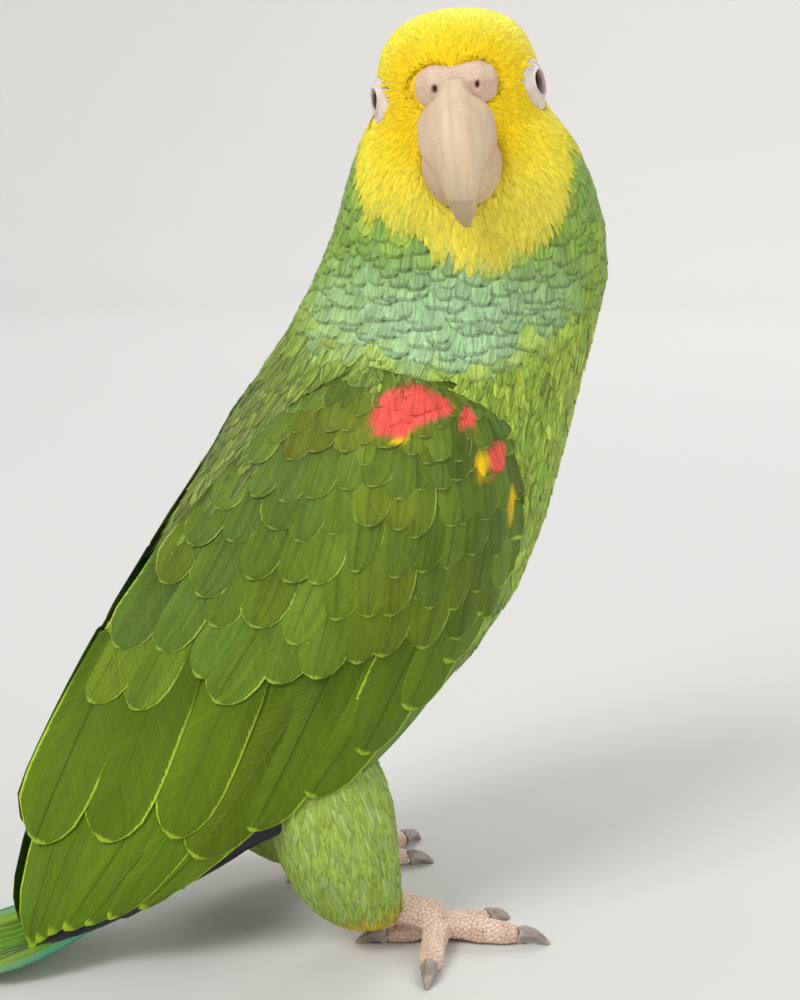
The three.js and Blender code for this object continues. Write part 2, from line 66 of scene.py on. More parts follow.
# Level slices of the head: height, middle, half length and half width.
SKULL = np.array([
    (25.4, -3, 3, 3), (24.2, -2.8, 10.5, 10), (20.8, -2.2, 18.5, 16.4), (15, -1.4, 23.2, 20.2),
    (8, -0.6, 25.4, 21.8), (0, -0.5, 26.2, 22.4), (-9, -1.2, 26.4, 24), (-18, -2.6, 26, 26.4),
])
BILL_ARC = {"x": 20, "z": -12, "radius": 20.5, "start": 62, "end": -70}
BILL_HALF = (8.8, 9.9, 10.1, 9.9, 8.6, 6.1, 4.3, 3.1, 1.1)
BILL_FLAT = (2, 2.5, 2.8, 3, 3.2, 3.4, 3.1, 2.2, 0.7)  # half of the flat along the ridge
BILL_DEEP = (12, 21, 25, 25, 20.5, 15, 10, 5.5, 2.2)
JAW = {"x": 15.5, "z": -14.6, "long": 17, "half": 10.4, "deep": 12.6, "back": 9}
CERE = {"x": 18.5, "z": 4.6, "half": 6.2, "tall": 6.3, "thick": 8.8, "side": 4.7}
BRIDGE = (8.8, 5.2, 5)  # half sizes of the cere's bridge between its lobes
NOSTRIL = {"side": 5.4, "z": 4.3}
LID = {"long": 3.6, "tall": 3.2}
FOLDS = {"long": 7.2, "tall": 6.9}  # outer edge of the bare skin round the eye

# Folded wing: upper and lower edge from wrist to tip, the second number outwards.
WING_TOP = np.array([
    (-20, 28, 162), (-37, 21, 151), (-53, 12, 133), (-70, 6, 112), (-86, 3.4, 88),
    (-99, 2.6, 66), (-107.5, 2.6, 48), (-113, 3, 31), (-115.5, 4, 16.5), (-112, 8, 6),
])
WING_LOW = np.array([
    (-2, 36, 157), (14, 36, 147), (21.5, 34, 126), (20, 31.5, 103), (11.5, 32, 83),
    (-5, 35, 63), (-28.5, 35, 44), (-56, 31.5, 32), (-82, 24, 17), (-107, 13.5, 4),
])
WING_BULGE = 27  # how far the middle of the folded wing stands out between its edges

# Tail: its upper side in the middle plane as a Bezier curve of x and z.
TAIL_LINE = np.array([(-50, 62), (-70, 22), (-85, -4), (-156, 2.4)], float)
CAMERA = {"away": 0.516, "high": 0.220, "down": 11, "lens": 67.176}


# ---- places -------------------------------------------------------------------------------
HEAD_TURN = Euler((math.radians(HEAD["roll"]), 0, math.radians(HEAD["yaw"])), "XYZ")
HEAD_FRAME = np.array(Matrix.Translation(HEAD["place"]) @ HEAD_TURN.to_matrix().to_4x4())
HEAD_BACK = np.linalg.inv(HEAD_FRAME)
YAWED = np.array([[math.cos(TURN), -math.sin(TURN), 0], [math.sin(TURN), math.cos(TURN), 0], [0, 0, 1]])


def from_head(points):
    """Head millimetres to bird millimetres."""
    points = np.asarray(points, float)
    return points @ HEAD_FRAME[:3, :3].T + HEAD_FRAME[:3, 3]


def to_head(points):
    """Bird millimetres to head millimetres."""
    return points @ HEAD_BACK[:3, :3].T + HEAD_BACK[:3, 3]


def frame_shift():
    """Where the bird's layout lies in the frame, from the places of the two eyes."""
    middle = sum((sum(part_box(f"eye_{side}"), Vector()) / 2 for side in ("left", "right")), Vector()) / 2
    between = from_head([(EYE["x"], 0, EYE["z"])])[0]
    shift = np.array(middle) * 1000 - YAWED @ between
    shift[2] = 0
    return shift


SHIFT = frame_shift()


def to_frame(points):
    """Bird millimetres to the frame's metres."""
    return (np.asarray(points, float) @ YAWED.T + SHIFT) / 1000


def to_bird(points):
    """The frame's metres to bird millimetres."""
    return (np.asarray(points, float) * 1000 - SHIFT) @ YAWED


def unit(v):
    return v / np.maximum(np.linalg.norm(v, axis=-1, keepdims=True), 1e-9)


def ease(x, low, high):
    """0 below low, 1 above high, smooth between."""
    t = np.clip((x - low) / (high - low), 0, 1)
    return t * t * (3 - 2 * t)


def mix(a, b, t):
    return a + (b - a) * t


def catmull(points, t):
    """Places on a centripetal curve through points, t from 0 to 1."""
    t = np.clip(np.asarray(t, float), 0, 1)
    n = len(points)
    place = t * (n - 1)
    i = np.minimum(place.astype(int), n - 2)
    w = (place - i)[..., None]
    padded = np.vstack([2 * points[0] - points[1], points, 2 * points[-1] - points[-2]])
    x0, x1, x2, x3 = (padded[i + k] for k in range(4))
    d0, d1, d2 = (np.linalg.norm(b - a, axis=-1, keepdims=True) ** 0.5
                  for a, b in ((x0, x1), (x1, x2), (x2, x3)))
    t1 = ((x1 - x0) / d0 - (x2 - x0) / (d0 + d1) + (x2 - x1) / d1) * d1
    t2 = ((x2 - x1) / d1 - (x3 - x1) / (d1 + d2) + (x3 - x2) / d2) * d1
    c2 = -3 * x1 + 3 * x2 - 2 * t1 - t2
    c3 = 2 * x1 - 2 * x2 + t1 + t2
    return x1 + t1 * w + c2 * w**2 + c3 * w**3


def smooth_value(table, t):
    """A smooth value of a row of numbers, t from 0 to 1 along it."""
    table = np.asarray(table, float)
    place = np.clip(t, 0, 1) * (len(table) - 1)
    i = np.minimum(np.asarray(place).astype(int), len(table) - 2)
    u = place - i
    a, b, c, d = (table[np.clip(i + k, 0, len(table) - 1)] for k in (-1, 0, 1, 2))
    return b + 0.5 * u * (c - a + u * (2 * a - 5 * b + 4 * c - d + u * (-a + 3 * b - 3 * c + d)))


def on_wing(p, q):
    """A place on the wing: p from wrist to tip, q from the upper edge down."""
    p, q = np.broadcast_arrays(np.asarray(p, float), np.asarray(q, float))
    place = mix(catmull(WING_TOP, p), catmull(WING_LOW, p), q[..., None])
    swell = (0.28 + 0.72 * ease(p, 0, 0.28)) * (1 - 0.93 * ease(p, 0.3, 1.02))
    bulge = WING_BULGE * swell * np.sin(np.pi * np.clip(q, 0, 1)) ** 0.85
    place[..., 1] += bulge
    return place


def wing_place(side, p, q, depth):
    """The same place pushed in along the wing's normal, on the given side of the body."""
    step = 0.03
    before, over = np.clip(p - step, 0, 1 - 2 * step), np.clip(q - step, 0, 1 - 2 * step)
    along = on_wing(before + 2 * step, q) - on_wing(before, q)
    normal = unit(np.cross(on_wing(p, over + 2 * step) - on_wing(p, over), along))
    normal = np.where(normal[..., 1:2] < 0, -normal, normal)
    place = on_wing(p, q) - normal * np.asarray(depth)[..., None]
    place[..., 1] *= side
    return place


def on_tail(t, y, depth):
    """A place on the tail: share of its length, sideways offset, depth under its upper side."""
    t, y, depth = np.broadcast_arrays(*(np.asarray(v, float) for v in (t, y, depth)))
    a, b, c, d = TAIL_LINE
    w = t[..., None]
    v = 1 - w
    place = a * v**3 + 3 * b * v**2 * w + 3 * c * v * w**2 + d * w**3
    slope = unit(3 * v**2 * (b - a) + 6 * v * w * (c - b) + 3 * w**2 * (d - c))
    return np.stack([place[..., 0] - slope[..., 1] * depth, y, place[..., 1] + slope[..., 0] * depth], -1)


# ---- markings -----------------------------------------------------------------------------
def hue(red, green, blue):
    """A colour as seen, made linear."""
    seen = np.array([red, green, blue]) / 255
    return np.where(seen <= 0.04045, seen / 12.92, ((seen + 0.055) / 1.055) ** 2.4)


def opaque(red, green, blue):
    """The same with full cover, as a shader's socket takes it."""
    return (*hue(red, green, blue), 1)


LEMON, GOLD, STRAW = hue(255, 245, 72), hue(250, 212, 12), hue(240, 220, 92)
AQUA, AQUA_DEEP = hue(168, 206, 152), hue(118, 164, 92)
LIME, LEAF = hue(182, 206, 78), hue(134, 170, 58)
MOSS, FRESH = hue(122, 138, 68), hue(136, 200, 72)
OLIVE, OLIVE_EDGE = hue(92, 110, 36), hue(158, 178, 96)
BRIGHT, SLATE = hue(94, 126, 0), hue(56, 52, 60)
WARM_OLIVE, COOL_OLIVE = hue(128, 134, 34), hue(98, 128, 56)
QUILL_EDGE = hue(176, 204, 56)
CORAL, AMBER = hue(252, 98, 86), hue(250, 208, 20)
DUSK, TURQUOISE = hue(50, 60, 40), hue(64, 140, 128)
TAIL_BASE, TAIL_GREEN, TAIL_EDGE = hue(70, 112, 40), hue(96, 150, 30), hue(160, 186, 60)


def waver(points, scale, seed=0):
    """A gentle wandering value from -1 to 1 over space."""
    total = np.zeros(len(points))
    rng = np.random.default_rng(seed)
    for _ in range(4):
        way = unit(rng.normal(size=3)) / scale * rng.uniform(0.7, 1.6)
        total += np.sin(points @ way * 6.28 + rng.uniform(0, 6.28))
    return total / 4


def facing(points, way=HEAD_FRAME[:3, 0]):
    """How far places round the head's own upright axis lie on the side that way points to, -1 to 1."""
    return (unit((points - HEAD_FRAME[:3, 3]) * (1, 1, 0)) * way).sum(1)


def yellow_edge(points):
    """Height at which the yellow of the head ends; the bib reaches down in front."""
    front = np.clip(facing(points, np.array([math.cos(BIB_YAW), math.sin(BIB_YAW), 0])), 0, 1)
    sides = facing(points)
    return mix(221, 205, ease(sides, 0.25, 0.62)) - 14 * front**4 + 2.8 * waver(points, 9, 3)


def yellow_share(points):
    """How far a place belongs to the yellow head, 0 to 1."""
    edge = yellow_edge(points)
    return ease(points[:, 2], edge - 3, edge + 3)


def ruff_share(points):
    """How far a place belongs to the scalloped ruff and throat."""
    low = 181 - 13 * np.clip(facing(points), -0.3, 1) + 2 * waver(points, 14, 5)
    return ease(points[:, 2], low - 7, low + 7) * (1 - yellow_share(points))


def plumage(points, yellow_only=None):
    """Colour of the plumage and of its fringes at places on the body; a tract that is all yellow or
    has no yellow says so."""
    rng = np.random.default_rng(SEED)
    front = np.clip(facing(points), 0, 1)[:, None]
    height = points[:, 2]
    yellow_part = yellow_share(points)[:, None]
    if yellow_only is not None:
        border = ease(height - yellow_edge(points) + 3 * rng.uniform(-1, 1, len(points)), -3, 6)
        yellow_part = (0.42 + 0.58 * border[:, None]) * float(yellow_only)
    ruff_part = ease(ruff_share(points) + yellow_share(points), 0, 1)[:, None]
    fore = ease(points[:, 0] + 0.55 * (height - 120), -14, 38)[:, None]
    flick = rng.uniform(0, 1, len(points))[:, None]
    body = mix(MOSS, LEAF, fore)
    body = mix(body, LIME, np.clip(0.62 * fore + 0.7 * (flick - 0.5) + 0.16, 0, 1))
    fresh = ease(waver(points, 16, 31), 0.1, 0.7)[:, None] * fore
    body = mix(body, FRESH, 0.45 * fresh)
    belly = ease(-height, -95, -50)[:, None]
    body = mix(body, mix(LIME, TURQUOISE, 0.35), 0.3 * belly)
    ruff = mix(LEAF, AQUA_DEEP, 0.6 * front**0.5)
    low_front = ease(-height, -203, -185)[:, None] * front**0.5
    ruff = mix(ruff, AQUA, np.clip(1.1 * low_front, 0, 1))
    ruff = mix(ruff, LIME, 0.3 * flick * (1 - front))
    hem = 1 - ease(ruff_share(points) - 0.3 * flick[:, 0], 0.2, 0.75)[:, None]
    ruff = mix(ruff, LIME, 0.6 * hem)
    tint = mix(body, ruff, ruff_part)
    cheek = to_head(points)
    brow = ease(-np.linalg.norm(cheek - (18, 0, 2), axis=1), -27, -12)[:, None]
    crown = ease(cheek[:, 2], 9, 22)[:, None]
    yellow = mix(LEMON, GOLD, np.clip(0.35 + 0.65 * brow - 0.55 * crown + 0.25 * (flick - 0.5), 0, 1))
    low = ease(-cheek[:, 2], 8, 26)[:, None]
    yellow = mix(yellow, STRAW, 0.5 * low)
    tint = mix(tint, yellow, yellow_part)
    fringe = mix(mix(body, DUSK, 0.45), mix(ruff, DUSK, 0.7), ruff_part)
    fringe = mix(fringe, yellow * 0.85, yellow_part)
    return tint, fringe


def thigh_plumage(points):
    """The thighs' pale green, with the yellow band above the foot."""
    tint, fringe = plumage(points)
    rng = np.random.default_rng(SEED + 1)
    flick = rng.uniform(0, 1, len(points))[:, None]
    tint = mix(mix(tint, LIME, 0.65), mix(LIME, AQUA, 0.6), 0.6 * ease(flick, 0.4, 0.8))
    band = ease(-points[:, 2] + 0.25 * (points[:, 0] + 22), -24, -15)[:, None]
    tint = mix(tint, mix(AMBER, LIME, 0.1), band * 0.95)
    return tint, mix(fringe, tint, 0.5)


# Coloured spots at the bend of the wing: along x, height, half sizes and colour.
WING_SPOTS = (
    (-12, 152.6, 8.2, 4.8, CORAL), (-17.5, 147.6, 4.8, 3.2, CORAL), (-3.6, 152, 2.8, 2.2, CORAL),
    (-16, 144.4, 1.7, 0.8, AMBER), (3.3, 148.8, 2.4, 3, CORAL), (12.3, 138, 3.6, 4.2, CORAL),
    (6.4, 137.2, 2.6, 3.4, AMBER), (17.6, 124, 2.1, 3.6, AMBER),
)


def wing_plumage(points, share):
    """Colour of a wing feather's vane and fringe; share is how far its row lies down the wing."""
    rng = np.random.default_rng(SEED + 2)
    flick = rng.uniform(0, 1, len(points))[:, None]
    share = np.asarray(share)[:, None]
    tint = mix(OLIVE, mix(OLIVE, LEAF, 0.5), flick)
    drift = waver(points, 24, 21) + rng.normal(0, 0.25, len(points))
    tint = mix(tint, WARM_OLIVE, 0.6 * ease(drift, 0.05, 0.8)[:, None])
    tint = mix(tint, COOL_OLIVE, 0.7 * ease(-drift, 0.05, 0.8)[:, None])
    tint = mix(tint, BRIGHT, np.clip(share, 0, 1) * 0.75)
    fringe = mix(OLIVE_EDGE, QUILL_EDGE, np.clip(share * 1.3, 0, 1))
    return tint, fringe


def wing_spots(points, colours):
    """The colours with the spots at the bend of the wing laid over them."""
    for x, z, wide, tall, colour in WING_SPOTS:
        far = ((points[:, 0] - x) / wide) ** 2 + ((points[:, 2] - z) / tall) ** 2
        near = (1 - ease(far + 0.3 * waver(points, 4, 8), 0.9, 1.05))[:, None]
        colours = mix(colours, colour, near)
    return colours


# ---- meshes -------------------------------------------------------------------------------
def linked(name, data):
    """A new object in the scene."""
    made = bpy.data.objects.new(name, data)
    bpy.context.scene.collection.objects.link(made)
    return made


def tube_faces(rows, count):
    """Faces of a tube of rows of count corners, closed at both ends."""
    faces = []
    for i in range(rows - 1):
        for k in range(count):
            a, b = i * count + k, i * count + (k + 1) % count
            faces.append((a, b, b + count, a + count))
    faces.append(tuple(reversed(range(count))))
    faces.append(tuple(range((rows - 1) * count, rows * count)))
    return faces


def closed_mesh(name, places, faces):
    """A closed mesh object from bird millimetres, its faces pointing outwards."""
    mesh = bpy.data.meshes.new(name)
    mesh.from_pydata(to_frame(places).tolist(), [], faces)
    mesh.validate()
    bm = bmesh.new()
    bm.from_mesh(mesh)
    bmesh.ops.recalc_face_normals(bm, faces=bm.faces)
    bm.to_mesh(mesh)
    bm.free()
    return linked(name, mesh)


def finished(piece, material, slot_name, *nodes):
    """The piece with its material, riding on the still body."""
    piece.data.materials.clear()
    piece.data.materials.append(material)
    for face in piece.data.polygons:
        face.use_smooth = True
    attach(piece, "root")
    if nodes:
        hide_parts(*nodes)
    return piece


def plain_mesh(piece, *modifiers):
    """The piece with the modifiers applied; each is a kind and its settings."""
    for kind, settings in modifiers:
        added = piece.modifiers.new(kind, kind)
        for key, value in settings.items():
            setattr(added, key, value)
    graph = bpy.context.evaluated_depsgraph_get()
    made = bpy.data.meshes.new_from_object(piece.evaluated_get(graph))
    piece.modifiers.clear()
    old = piece.data
    piece.data = made
    bpy.data.meshes.remove(old)
    made.name = piece.name
    return piece


def joined_nodes(name, nodes, swell=0.25, set_in=()):
    """Copies of CAD nodes as one mesh, each swollen a little so that thin cuts close; what is set in
    keeps a little inside instead."""
    bm = bmesh.new()
    for node in nodes:
        grow = -0.9 if node in set_in else swell
        part = bmesh.new()
        part.from_mesh(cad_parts[node].data)
        bmesh.ops.remove_doubles(part, verts=part.verts, dist=2e-5)
        part.normal_update()
        for v in part.verts:
            v.co += v.normal * grow / 1000
        spare = bpy.data.meshes.new("spare")
        part.to_mesh(spare)
        part.free()
        bm.from_mesh(spare)
        bpy.data.meshes.remove(spare)
    mesh = bpy.data.meshes.new(name)
    bm.to_mesh(mesh)
    bm.free()
    return linked(name, mesh)


def corners(mesh, label="co"):
    """Every corner's place, or its normal."""
    rows = np.empty(len(mesh.vertices) * 3)
    mesh.vertices.foreach_get(label, rows)
    return rows.reshape(-1, 3)


def normals(mesh):
    return corners(mesh, "normal")


def move_corners(mesh, places):
    mesh.vertices.foreach_set("co", places.ravel())
    mesh.update()


def above_floor(mesh):
    """Nothing dips under the floor."""
    at = corners(mesh)
    at[:, 2] = np.maximum(at[:, 2], FLOOR_GAP)
    move_corners(mesh, at)


def mark(mesh, label, kind, values):
    """Write an attribute of a mesh's corners."""
    layer = mesh.attributes.new(label, kind, "POINT")
    field = {"FLOAT": "value", "FLOAT_VECTOR": "vector", "FLOAT_COLOR": "color"}[kind]
    layer.data.foreach_set(field, np.asarray(values, float).ravel())


def colour_layer(mesh, label, colours):
    values = np.ones((len(mesh.vertices), 4))
    values[:, : colours.shape[1]] = colours
    mark(mesh, label, "FLOAT_COLOR", values)


def uv_layer(mesh, name, per_vertex):
    """A UV map from one place per vertex."""
    layer = mesh.uv_layers.new(name=name)
    loops = np.empty(len(mesh.loops), int)
    mesh.loops.foreach_get("vertex_index", loops)
    layer.data.foreach_set("uv", per_vertex[loops].ravel())


def near_tree(places):
    tree = KDTree(len(places))
    for i, place in enumerate(places):
        tree.insert(place, i)
    tree.balance()
    return tree


# ---- node trees ---------------------------------------------------------------------------
class Signal:
    """A socket's value; plain arithmetic on it adds math nodes."""

    def __init__(self, wires, socket):
        self.wires, self.socket = wires, socket

    def __add__(self, other):
        return self.wires.math("ADD", self, other)

    def __sub__(self, other):
        return self.wires.math("SUBTRACT", self, other)

    def __rsub__(self, other):
        return self.wires.math("SUBTRACT", other, self)

    def __mul__(self, other):
        return self.wires.math("MULTIPLY", self, other)


class Wires:
    """A material or node group being wired."""

    def __init__(self, tree):
        self.tree = tree

    def feed(self, socket, value):
        if isinstance(value, Signal):
            self.tree.links.new(value.socket, socket)
        else:
            socket.default_value = value

    def node(self, kind, **inputs):
        """A new node: _name is a setting of it, i and a number is an input by its place."""
        made = self.tree.nodes.new(kind)
        for key in [k for k in inputs if k.startswith("_")]:
            setattr(made, key[1:], inputs.pop(key))
        for key, value in inputs.items():
            self.feed(made.inputs[int(key[1:]) if key[1:].isdigit() else key.replace("_", " ")], value)
        return made

    def value(self, kind, output=0, **inputs):
        return Signal(self, self.node(kind, **inputs).outputs[output])

    def math(self, operation, a, b=0.0, clamp=False):
        return self.value("ShaderNodeMath", _operation=operation, _use_clamp=clamp, i0=a, i1=b)

    def step(self, value, low, high):
        """0 below low, 1 above high, smooth between."""
        return self.value("ShaderNodeMapRange", _interpolation_type="SMOOTHSTEP", i0=value, i1=low, i2=high)

    def mix(self, share, a, b, blend="MIX"):
        return self.value("ShaderNodeMix", 2, _data_type="RGBA", _blend_type=blend, i0=share, i6=a, i7=b)

    def point(self, x, y, z=0.0):
        return self.value("ShaderNodeCombineXYZ", X=x, Y=y, Z=z)

    def darken(self, tint, shade):
        return self.mix(1.0, tint, self.point(shade, shade, shade), "MULTIPLY")

    def noise(self, place, scale=1.0, detail=2.0, rough=0.6):
        return self.value("ShaderNodeTexNoise", Vector=place, Scale=scale, Detail=detail, Roughness=rough)

    def place(self):
        return self.value("ShaderNodeTexCoord", "Object")

    def uv(self, name):
        return self.value("ShaderNodeUVMap", _uv_map=name)

    def attribute(self, name, output="Color"):
        return self.value("ShaderNodeAttribute", output, _attribute_name=name)

    def parts(self, kind, **value):
        """The three parts of a vector or colour."""
        return [Signal(self, output) for output in self.node("ShaderNodeSeparate" + kind, **value).outputs]

    def group(self, tree, **inputs):
        """A group's colour and height."""
        made = self.node("ShaderNodeGroup", _node_tree=tree, **inputs)
        return [Signal(self, made.outputs[label]) for label in ("Color", "Height")]


def new_group(name, kind, inputs, outputs):
    """A node group: its wires, its inputs as signals, its outputs' sockets and its inputs' identifiers."""
    tree = bpy.data.node_groups.new(name, kind)
    identifiers = {}
    for label, socket, value in inputs:
        made = tree.interface.new_socket(name=label, in_out="INPUT", socket_type="NodeSocket" + socket)
        if value is not None:
            made.default_value = value
        identifiers[label] = made.identifier
    for label, socket in outputs:
        tree.interface.new_socket(name=label, in_out="OUTPUT", socket_type="NodeSocket" + socket)
    wires = Wires(tree)
    into, out = tree.nodes.new("NodeGroupInput"), tree.nodes.new("NodeGroupOutput")
    fed = {label: Signal(wires, into.outputs[label]) for label in identifiers}
    return wires, fed, out.inputs, identifiers


def marks_group(name, inputs):
    """A shader group that puts out a colour and a height."""
    return new_group(name, "ShaderNodeTree", inputs, [("Color", "Color"), ("Height", "Float")])[:3]


def vane_group():
    """Marks of a feather's vane from its own map, u across and v from root to tip, with painted shade towards
    the root, where the feathers above lie over it.
    """
    inputs = [("Map", "Vector", None), ("Tint", "Color", None), ("Fringe", "Color", None),
              ("Ways", "Color", None)]
    plain = {"Barbs": 60.0, "Barb depth": 0.25, "Hair": 0.2, "Fringe width": 0.2, "Fringe share": 0.6,
             "Fringe sides": 1.0, "Rachis": 0.3, "Root shade": 0.3}
    inputs += [(label, "Float", value) for label, value in plain.items()]
    s, get, out = marks_group("Vane marks", inputs)
    u, v, _ = s.parts("XYZ", Vector=get["Map"])
    shaft, streaks, lot = s.parts("Color", Color=get["Ways"])[:3]
    across = s.math("ABSOLUTE", u * 2.0 - 1.0)
    lean = v - across * 0.22
    barb = s.noise(s.point(lean * get["Barbs"], u * 1.6, lot * 37.0), detail=1.5)
    barb = s.step(barb, 0.3, 0.7)
    patch = s.noise(s.point(lean * 7.0, u * 0.8, lot * 11.0))
    strand = s.noise(s.point(u * 11.0, v * 1.3, lot * 53.0))
    strand = (s.step(strand, 0.28, 0.72) - 0.6) * get["Hair"]
    rim = s.math("MAXIMUM", across * get["Fringe sides"], 1.0 - (1.0 - v) * 3.2)
    ragged = rim + (barb - 0.5) * (get["Fringe width"] * 0.8)
    width = 1.0 - get["Fringe width"]
    edge = s.step(ragged, width - get["Fringe width"] * 0.5, width) * get["Fringe share"]
    tint = s.mix(edge * s.step(v, 0.2, 0.5), get["Tint"], get["Fringe"])
    shade = barb * get["Barb depth"] + 0.9 + (patch - 0.5) * 0.3 + strand
    shade = shade + (u - 0.5) * (lot - 0.35) * 0.5
    # Painted shade: the vane darkens towards its root, where the feathers above lie over it.
    shade = shade - (1.0 - s.step(v, 0.0, 0.7)) * get["Root shade"]
    line = (1.0 - s.step(across, 0.015, 0.06)) * get["Rachis"] * shaft
    streak = (1.0 - s.step(across, 0.1, 0.6)) * streaks
    shade = shade * (1.0 - s.math("MAXIMUM", line, streak * 0.75))
    s.feed(out["Color"], s.darken(tint, shade))
    s.feed(out["Height"], barb + (1.0 - s.step(across, 0.0, 0.12)) * 0.8)
    return s.tree


def grain_group():
    """Fine pores and creases of bare skin or horn, from places on the object, with painted shade in its
    marked hollows.
    """
    s, get, out = marks_group("Skin grain", [
        ("Tint", "Color", None), ("Shade", "Color", None), ("Size", "Float", 900.0),
        ("Stretch", "Vector", None), ("Contrast", "Float", 0.5), ("Crease", "Float", 1.0),
        ("Hollow", "Float", 0.0)])
    place = s.value("ShaderNodeVectorMath", _operation="MULTIPLY", i0=s.place(), i1=get["Stretch"])
    fine = s.noise(place, get["Size"], 4.0, 0.65)
    wide = s.noise(place, get["Size"] * 0.17, 3.0, 0.5)
    cell = s.value("ShaderNodeTexVoronoi", _feature="DISTANCE_TO_EDGE", Vector=place,
                   Scale=get["Size"] * 0.6)
    crease = 1.0 - (1.0 - s.step(cell, 0.0, 0.09)) * get["Crease"]
    share = s.step(wide, 0.35, 0.68) * get["Contrast"] + (1.0 - crease) * 0.25
    share = s.math("ADD", share, (fine - 0.5) * 0.4, clamp=True)
    tone = s.mix(share, get["Tint"], get["Shade"])
    # Painted shade: marked hollows are mixed towards a dark brown.
    s.feed(out["Color"], s.mix(get["Hollow"], tone, opaque(58, 34, 28)))
    s.feed(out["Height"], fine * 0.4 + crease * 0.6)
    return s.tree


VANE_MARKS = vane_group()
SKIN_GRAIN = grain_group()


# ---- materials ----------------------------------------------------------------------------
def new_material(name, base):
    material = bpy.data.materials.new(name)
    material.use_nodes = True
    material.diffuse_color = base
    return material, Wires(material.node_tree)


def finish_of(material, s, tone, height=None, strength=0.5, depth=0.0, **plain):
    """The material with its colour, its relief and its plain values set."""
    skin = s.tree.nodes["Principled BSDF"]
    s.feed(skin.inputs["Base Color"], tone)
    if height is not None:
        relief = s.value("ShaderNodeBump", Strength=strength, Distance=depth, Height=height)
        s.feed(skin.inputs["Normal"], relief)
    for label, value in plain.items():
        skin.inputs[label.replace("_", " ")].default_value = value
    return material


def plumage_material(name, barbs, depth, bump, rough=0.62, gloss=0.2, **marks):
    """Feather vanes tinted by the piece's own markings, with painted shade towards their roots."""
    material, s = new_material(name, (0.4, 0.5, 0.1, 1))
    tone, height = s.group(
        VANE_MARKS, Barbs=barbs, Barb_depth=depth, Map=s.uv("Vane"), Tint=s.attribute("tint"),
        Fringe=s.attribute("fringe"), Ways=s.attribute("ways"), **marks)
    return finish_of(material, s, tone, height, 0.6, bump, Roughness=rough, Specular_IOR_Level=gloss,
                     Sheen_Weight=0.2 * gloss, Sheen_Roughness=0.45)


def grain_material(name, tint, shade, size, rough, bump, contrast=0.5, coat=0.0, hollow=None):
    """Bare skin or horn; the named mark sets its openings, which are painted dark brown as painted shade
    inside them.
    """
    material, s = new_material(name, opaque(*tint))
    opening = s.attribute(hollow, "Fac") if hollow else 0.0
    tone, height = s.group(SKIN_GRAIN, Tint=opaque(*tint), Shade=opaque(*shade), Size=size,
                           Contrast=contrast, Stretch=(1, 1, 1), Hollow=opening)
    return finish_of(material, s, tone, height, 0.5, bump, Roughness=rough, Coat_Weight=coat,
                     Coat_Roughness=0.25)


def skin_material():
    """The feathered skin under the coat, marked as the coat is, with the painted shade that its tint carries.
    """
    material, s = new_material("under plumage", (0.3, 0.4, 0.1, 1))
    down = s.noise(s.place(), 700.0, 4.0, 0.7)
    tone = s.darken(s.attribute("tint"), down * 0.4 + 0.6)
    return finish_of(material, s, tone, down, 0.6, 0.0006, Roughness=0.85)


def eye_material():
    """Dark brown iris and black pupil under a wet surface, from the eye's own map."""
    material, s = new_material("eye", (0.1, 0.05, 0.02, 1))
    radius, angle, _ = s.parts("XYZ", Vector=s.uv("Iris"))
    fibre = s.noise(s.point(angle * 40.0, radius * 3.0), detail=3.0, rough=0.5)
    iris = s.mix(fibre, opaque(52, 26, 12), opaque(126, 62, 22))
    iris = s.mix(s.step(radius, 0.5, 0.64), iris, opaque(40, 22, 12))
    tone = s.mix(s.step(radius, 0.34, 0.37), (0.003, 0.003, 0.003, 1), iris)
    tone = s.mix(s.step(radius, 0.6, 0.66), tone, opaque(26, 16, 12))
    return finish_of(material, s, tone, Roughness=0.3, Specular_IOR_Level=0.1, Coat_Weight=0.25,
                     Coat_Roughness=0.02)


def bill_material():
    """Pinkish cream horn, darker and worn towards the tip, finely lined along its growth."""
    material, s = new_material("bill horn", opaque(214, 192, 162))
    tone, grain = s.group(SKIN_GRAIN, Tint=opaque(216, 194, 160), Shade=opaque(190, 154, 126), Size=420.0,
                          Contrast=0.7, Stretch=(1, 1, 0.22), Crease=0.0)
    around, along, _ = s.parts("XYZ", Vector=s.uv("Growth"))
    line = s.noise(s.point(around * 46.0, along * 2.4), detail=3.0)
    flake = s.noise(s.point(around * 7.0, along * 34.0), detail=3.0, rough=0.7)
    for share, strength, other in (
            (s.step(line, 0.42, 0.72), 0.25, opaque(184, 150, 122)),
            (s.step(flake, 0.55, 0.75), 0.3, opaque(230, 214, 188)),
            (s.step(along, 0.725, 0.75), 0.35, opaque(184, 144, 118)),
            (s.step(along, 0.8, 1.0), 0.3, opaque(146, 118, 100))):
        tone = s.mix(share * strength, tone, other)
    return finish_of(material, s, tone, grain * 0.4 + line * 0.6, 0.5, 0.0003, Roughness=0.5,
                     Coat_Weight=0.08, Coat_Roughness=0.3)


def foot_material():
    """Pale scales with darker seams between them."""
    material, s = new_material("foot scales", opaque(214, 180, 160))
    tone, height = s.group(SKIN_GRAIN, Tint=opaque(228, 204, 184), Shade=opaque(196, 162, 140), Size=700.0,
                           Contrast=0.6, Stretch=(1, 1, 1))
    tone = s.mix(1.0 - s.attribute("scale_seam", "Fac"), tone, opaque(168, 124, 104))
    return finish_of(material, s, tone, height, 0.4, 0.0002, Roughness=0.6)


# ---- skin ---------------------------------------------------------------------------------
FLESH = ("head", "neck", "trunk", "tail_coverts", "thigh_left", "thigh_right")
SET_IN = ("cere", "upper_bill", "lower_bill", "eye_ring_left", "eye_ring_right", "eye_left", "eye_right")
WINGS = tuple(f"wing_{side}_{layer}" for side in ("left", "right")
              for layer in ("coverts", "secondaries", "primaries"))


def coat_depth(places):
    """Depth of the coat at bird places: thin over the face, deeper over the body."""
    return mix(COAT, HEAD_COAT, ease(places[:, 2], 196, 214))


